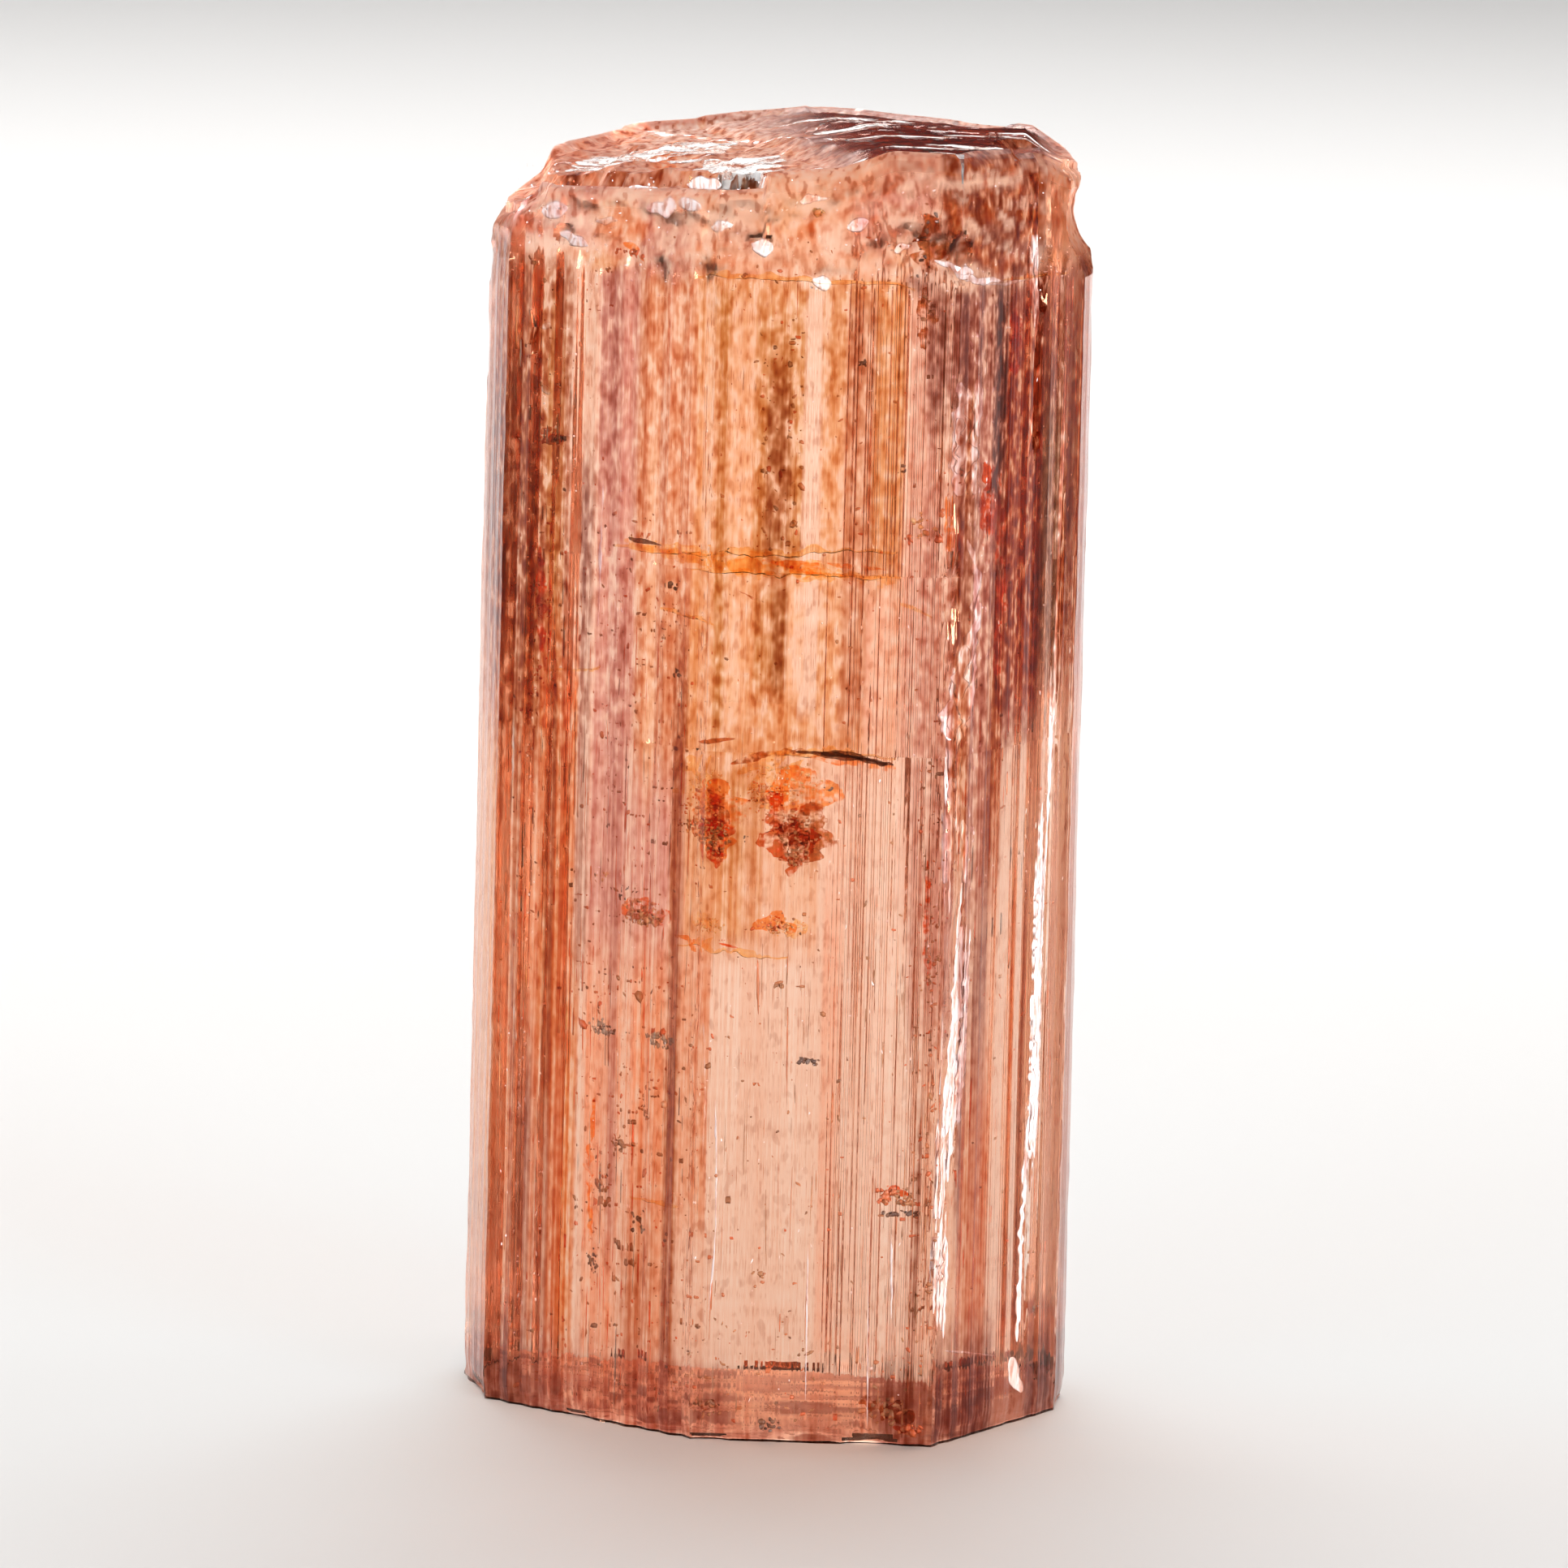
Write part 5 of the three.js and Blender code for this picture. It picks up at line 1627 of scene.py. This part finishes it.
class CrystalSettings(bpy.types.PropertyGroup):
    columns_per_rib: count_property("Columns per Rib", "Columns of the side to each rib or groove", 5, 1)
    rim_rows: count_property("Rim Rows", "Rows of the side grid just below the broken rim", 40, 4)
    top_rings: count_property("Top Rings", "Rings of the grid over the broken top", 36, 4)
    lump_depth: length_property("Lump Depth", "Depth of the lumps above the top crack", 0.06)
    rim_round: length_property("Rim Round", "How far the broken rim is rounded off", 0.34)
    striation_depth: length_property("Striation Depth", "Depth of the finest growth lines", 0.016)
    chip_depth: length_property("Chip Depth", "Depth of the chips along rims and edges", 0.16)
    crisp_angle: number_property("Crisp Angle", "Edges that turn by more degrees are sharp", 14.0)
    body: colour_property("Body Colour", "Colour that thick topaz turns light to", (0.95, 0.44, 0.10))
    ior: number_property("Refractive Index", "Topaz bends light by this", 1.62)
    density: number_property("Absorption", "How strongly the body colour deepens with thickness", 60.0)


class FlawSettings(bpy.types.PropertyGroup):
    gold: colour_property("Golden Iron", "Colour of the thinnest iron film", (1.0, 0.80, 0.47))
    orange: colour_property("Orange Iron", "Colour of a thin iron stain", (1.0, 0.50, 0.20))
    red: colour_property("Red Iron", "Colour of the red iron stain", (0.92, 0.17, 0.05))
    brown: colour_property("Brown Iron", "Colour of the brown iron stain", (0.62, 0.26, 0.11))
    dark: colour_property("Dark Iron", "Colour of the thickest iron stain", (0.12, 0.045, 0.03))
    grey: colour_property("Grey Specks", "Colour of the grey mineral specks", (0.62, 0.50, 0.42))
    crack: colour_property("Crack", "Colour that a cleavage crack turns light to", (1.0, 0.74, 0.38))
    # Colour of the veils, also of the painted highlights and glints.
    veil: colour_property("Veil", "Colour of the white veils", (0.94, 0.84, 0.86))


class StageSettings(bpy.types.PropertyGroup):
    distance: length_property("Camera Distance", "From the lens to the crystal", 280.8)
    elevation: angle_property("Elevation", "How far the camera looks down", 10.3)
    roll: angle_property("Roll", "Turn of the picture about the view", 1.42)
    lens: number_property("Lens", "Focal length in mm on a 36 mm sensor", 229.49)
    floor: colour_property("Floor", "Colour of the floor and backdrop", (0.72, 0.71, 0.70))
    light: number_property("Light", "Strength of the lamps", 1.0)


# Operators


class TOPAZ_OT_crystal(bpy.types.Operator):
    """Add the crystal: the striated prism with its broken top"""

    bl_idname = "topaz.crystal"
    bl_label = "Crystal"

    def execute(self, context):
        settings = context.scene.topaz_crystal
        piece = crystal_piece(settings)
        finish_piece(piece, crystal_material(settings))
        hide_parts(NODE)
        return {"FINISHED"}


class TOPAZ_OT_cracks(bpy.types.Operator):
    """Add the level cleavage cracks and the iron films"""

    bl_idname = "topaz.cracks"
    bl_label = "Cleavage Cracks"

    def execute(self, context):
        settings = context.scene.topaz_flaws
        flaw_piece("cleavage_cracks", joined(crack_parts()), crack_material(settings))
        arrays, tones = film_arrays()
        flaw_piece("iron_films", above_base(arrays), film_material(settings), {"tone": tones})
        return {"FINISHED"}


class TOPAZ_OT_stains(bpy.types.Operator):
    """Add the iron stains, specks and needles, and the splintered skin of the base"""

    bl_idname = "topaz.stains"
    bl_label = "Iron Stains"

    def execute(self, context):
        arrays, colours = base_arrays()
        flaw_piece("base_skin", arrays, base_material(), {"colour": colours})
        material = stain_material(context.scene.topaz_flaws)
        groups = (
            ("iron_stains", stain_arrays()),
            ("specks", speck_arrays()),
            ("needles", needle_arrays(NEEDLES, NEEDLE_SEED)),
        )
        for name, (arrays, tones) in groups:
            flaw_piece(name, above_base(arrays), material, {"tone": tones}, rounded=False)
        return {"FINISHED"}


class TOPAZ_OT_veils(bpy.types.Operator):
    """Add the white veils along the front edge and in the breaks, partly painted highlights, the glints,
    painted highlights of white grains, and the frosted patches on the top, partly painted highlight
    """

    bl_idname = "topaz.veils"
    bl_label = "White Veils"

    def execute(self, context):
        # The veils, partly painted highlights, and the glints, painted highlights, share one white
        # material.
        glints, _ = needle_arrays(GLINTS, GLINT_SEED)
        material = veil_and_highlight_material(context.scene.topaz_flaws)
        veils, edges = veil_and_highlight_arrays()
        flaw_piece("white_veils_and_highlights", veils, material, {"edge": edges})
        flaw_piece("glints", glints, material, {"edge": np.ones(len(glints[0]))})
        # Frosted patches on the broken top, partly painted highlight.
        frosts_and_highlights = joined([flake(number, *frost_and_highlight) for number, frost_and_highlight in enumerate(FROSTS_AND_HIGHLIGHTS)])
        flaw_piece("frost_and_highlight", frosts_and_highlights, frost_and_highlight_material())
        return {"FINISHED"}


def lamp(name, place, target, size, power, colour=(1.0, 1.0, 1.0)):
    """A soft oblong lamp that faces its target, in metres and watts."""
    light = bpy.data.lights.new(name, "AREA")
    light.shape = "RECTANGLE"
    light.size, light.size_y = size
    light.energy = power
    light.color = colour
    made = bpy.data.objects.new(name, light)
    made.location = place
    made.rotation_euler = (Vector(target) - Vector(place)).to_track_quat("-Z", "Y").to_euler()
    bpy.context.scene.collection.objects.link(made)
    return made


FLOOR_REACH = 3000.0
FLOOR_HEIGHT = -0.005
LAMP_TARGET = (0.0, 0.0, 18 * MM)
CAMERA_AIM = (0.172, 0.0, 17.354)


class TOPAZ_OT_stage(bpy.types.Operator):
    """Add the pale floor, the soft lights and the camera"""

    bl_idname = "topaz.stage"
    bl_label = "Stage"

    def execute(self, context):
        settings = context.scene.topaz_stage
        self.floor(settings)
        self.lights(context, settings)
        self.camera(context, settings)
        return {"FINISHED"}

    @staticmethod
    def floor(settings):
        """A level floor, wide enough that the camera sees nothing past it."""
        places = FLOOR_REACH * np.array([[-1, -1], [1, -1], [-1, 1], [1, 1]], float)
        points = np.column_stack([places, np.full(4, FLOOR_HEIGHT)])
        made = mesh_object("floor", points, grid_quads(2, 2, wrap=False))
        shader = Shader("pale_floor")
        made.data.materials.append(shader.surface(Base_Color=tuple(settings.floor), Roughness=0.6))

    @staticmethod
    def lights(context, settings):
        """A grey studio world, darker at the horizon, and five lamps."""
        world = bpy.data.worlds.new("studio")
        world.use_nodes = True
        tree = world.node_tree
        direction = tree.nodes.new("ShaderNodeTexCoord")
        split = tree.nodes.new("ShaderNodeSeparateXYZ")
        ramp = tree.nodes.new("ShaderNodeValToRGB")
        tree.links.new(direction.outputs["Generated"], split.inputs[0])
        tree.links.new(split.outputs["Z"], ramp.inputs["Fac"])
        horizon, middle, zenith = (0.08, 0.06, 0.055), (0.12, 0.11, 0.11), (0.4, 0.4, 0.4)
        Shader.set_stops(ramp.color_ramp, ((0.0, horizon), (0.35, middle), (1.0, zenith)))
        tree.links.new(ramp.outputs["Color"], tree.nodes["Background"].inputs["Color"])
        tree.nodes["Background"].inputs["Strength"].default_value = 0.5 * settings.light
        context.scene.world = world
        power = settings.light
        behind = (0.0, 0.12, 0.0)
        lamp("key", (-0.30, 0.14, 0.22), LAMP_TARGET, (0.16, 0.20), 0.40 * power, (1.0, 0.98, 0.95))
        lamp("fill", (0.32, 0.14, 0.19), LAMP_TARGET, (0.10, 0.20), 0.15 * power, (0.96, 0.98, 1.0))
        lamp("back", (0.0, 0.24, 0.28), behind, (0.40, 0.20), 1.6 * power)
        right = lamp("right", (0.36, -0.36, 0.04), LAMP_TARGET, (0.20, 0.06), 4.0 * power)
        left = lamp("left", (-0.33, -0.39, 0.04), LAMP_TARGET, (0.20, 0.06), 2.2 * power)
        right.visible_transmission = left.visible_transmission = False

    @staticmethod
    def camera(context, settings):
        """The camera at the photograph's viewing angle."""
        lens = bpy.data.cameras.new("camera")
        lens.lens = settings.lens
        lens.sensor_width = 36.0
        lens.clip_start = 0.01
        made = bpy.data.objects.new("camera", lens)
        aim = Vector(CAMERA_AIM) * MM
        back = Vector((0, -math.cos(settings.elevation), math.sin(settings.elevation)))
        level = Vector((1, 0, 0))
        up = back.cross(level)
        roll = settings.roll
        right = math.cos(roll) * level + math.sin(roll) * up
        above = math.cos(roll) * up - math.sin(roll) * level
        turned = Matrix((right, above, back)).transposed().to_4x4()
        made.matrix_world = Matrix.Translation(aim + settings.distance * back) @ turned
        context.scene.collection.objects.link(made)
        context.scene.camera = made
        context.scene.view_settings.view_transform = "Standard"
        context.scene.cycles.caustics_refractive = False
        context.scene.cycles.caustics_reflective = False


class TOPAZ_PT_panel(bpy.types.Panel):
    """Lists the operators and settings"""

    bl_label = "Topaz Crystal"
    bl_idname = "TOPAZ_PT_panel"
    bl_space_type = "VIEW_3D"
    bl_region_type = "UI"
    bl_category = "Topaz"

    def draw(self, context):
        for operator in OPERATORS:
            self.layout.operator(operator.bl_idname)
        for settings in (context.scene.topaz_crystal, context.scene.topaz_flaws, context.scene.topaz_stage):
            for name in settings.__annotations__:
                self.layout.prop(settings, name)


OPERATORS = (TOPAZ_OT_crystal, TOPAZ_OT_cracks, TOPAZ_OT_stains, TOPAZ_OT_veils, TOPAZ_OT_stage)
CLASSES = (CrystalSettings, FlawSettings, StageSettings, *OPERATORS, TOPAZ_PT_panel)


def register():
    for made in CLASSES:
        bpy.utils.register_class(made)
    bpy.types.Scene.topaz_crystal = bpy.props.PointerProperty(type=CrystalSettings)
    bpy.types.Scene.topaz_flaws = bpy.props.PointerProperty(type=FlawSettings)
    bpy.types.Scene.topaz_stage = bpy.props.PointerProperty(type=StageSettings)


def unregister():
    del bpy.types.Scene.topaz_stage
    del bpy.types.Scene.topaz_flaws
    del bpy.types.Scene.topaz_crystal
    for made in reversed(CLASSES):
        bpy.utils.unregister_class(made)


def main():
    register()
    bpy.ops.topaz.crystal()
    bpy.ops.topaz.cracks()
    bpy.ops.topaz.stains()
    bpy.ops.topaz.veils()
    bpy.ops.topaz.stage()


if __name__ == "__main__":
    main()
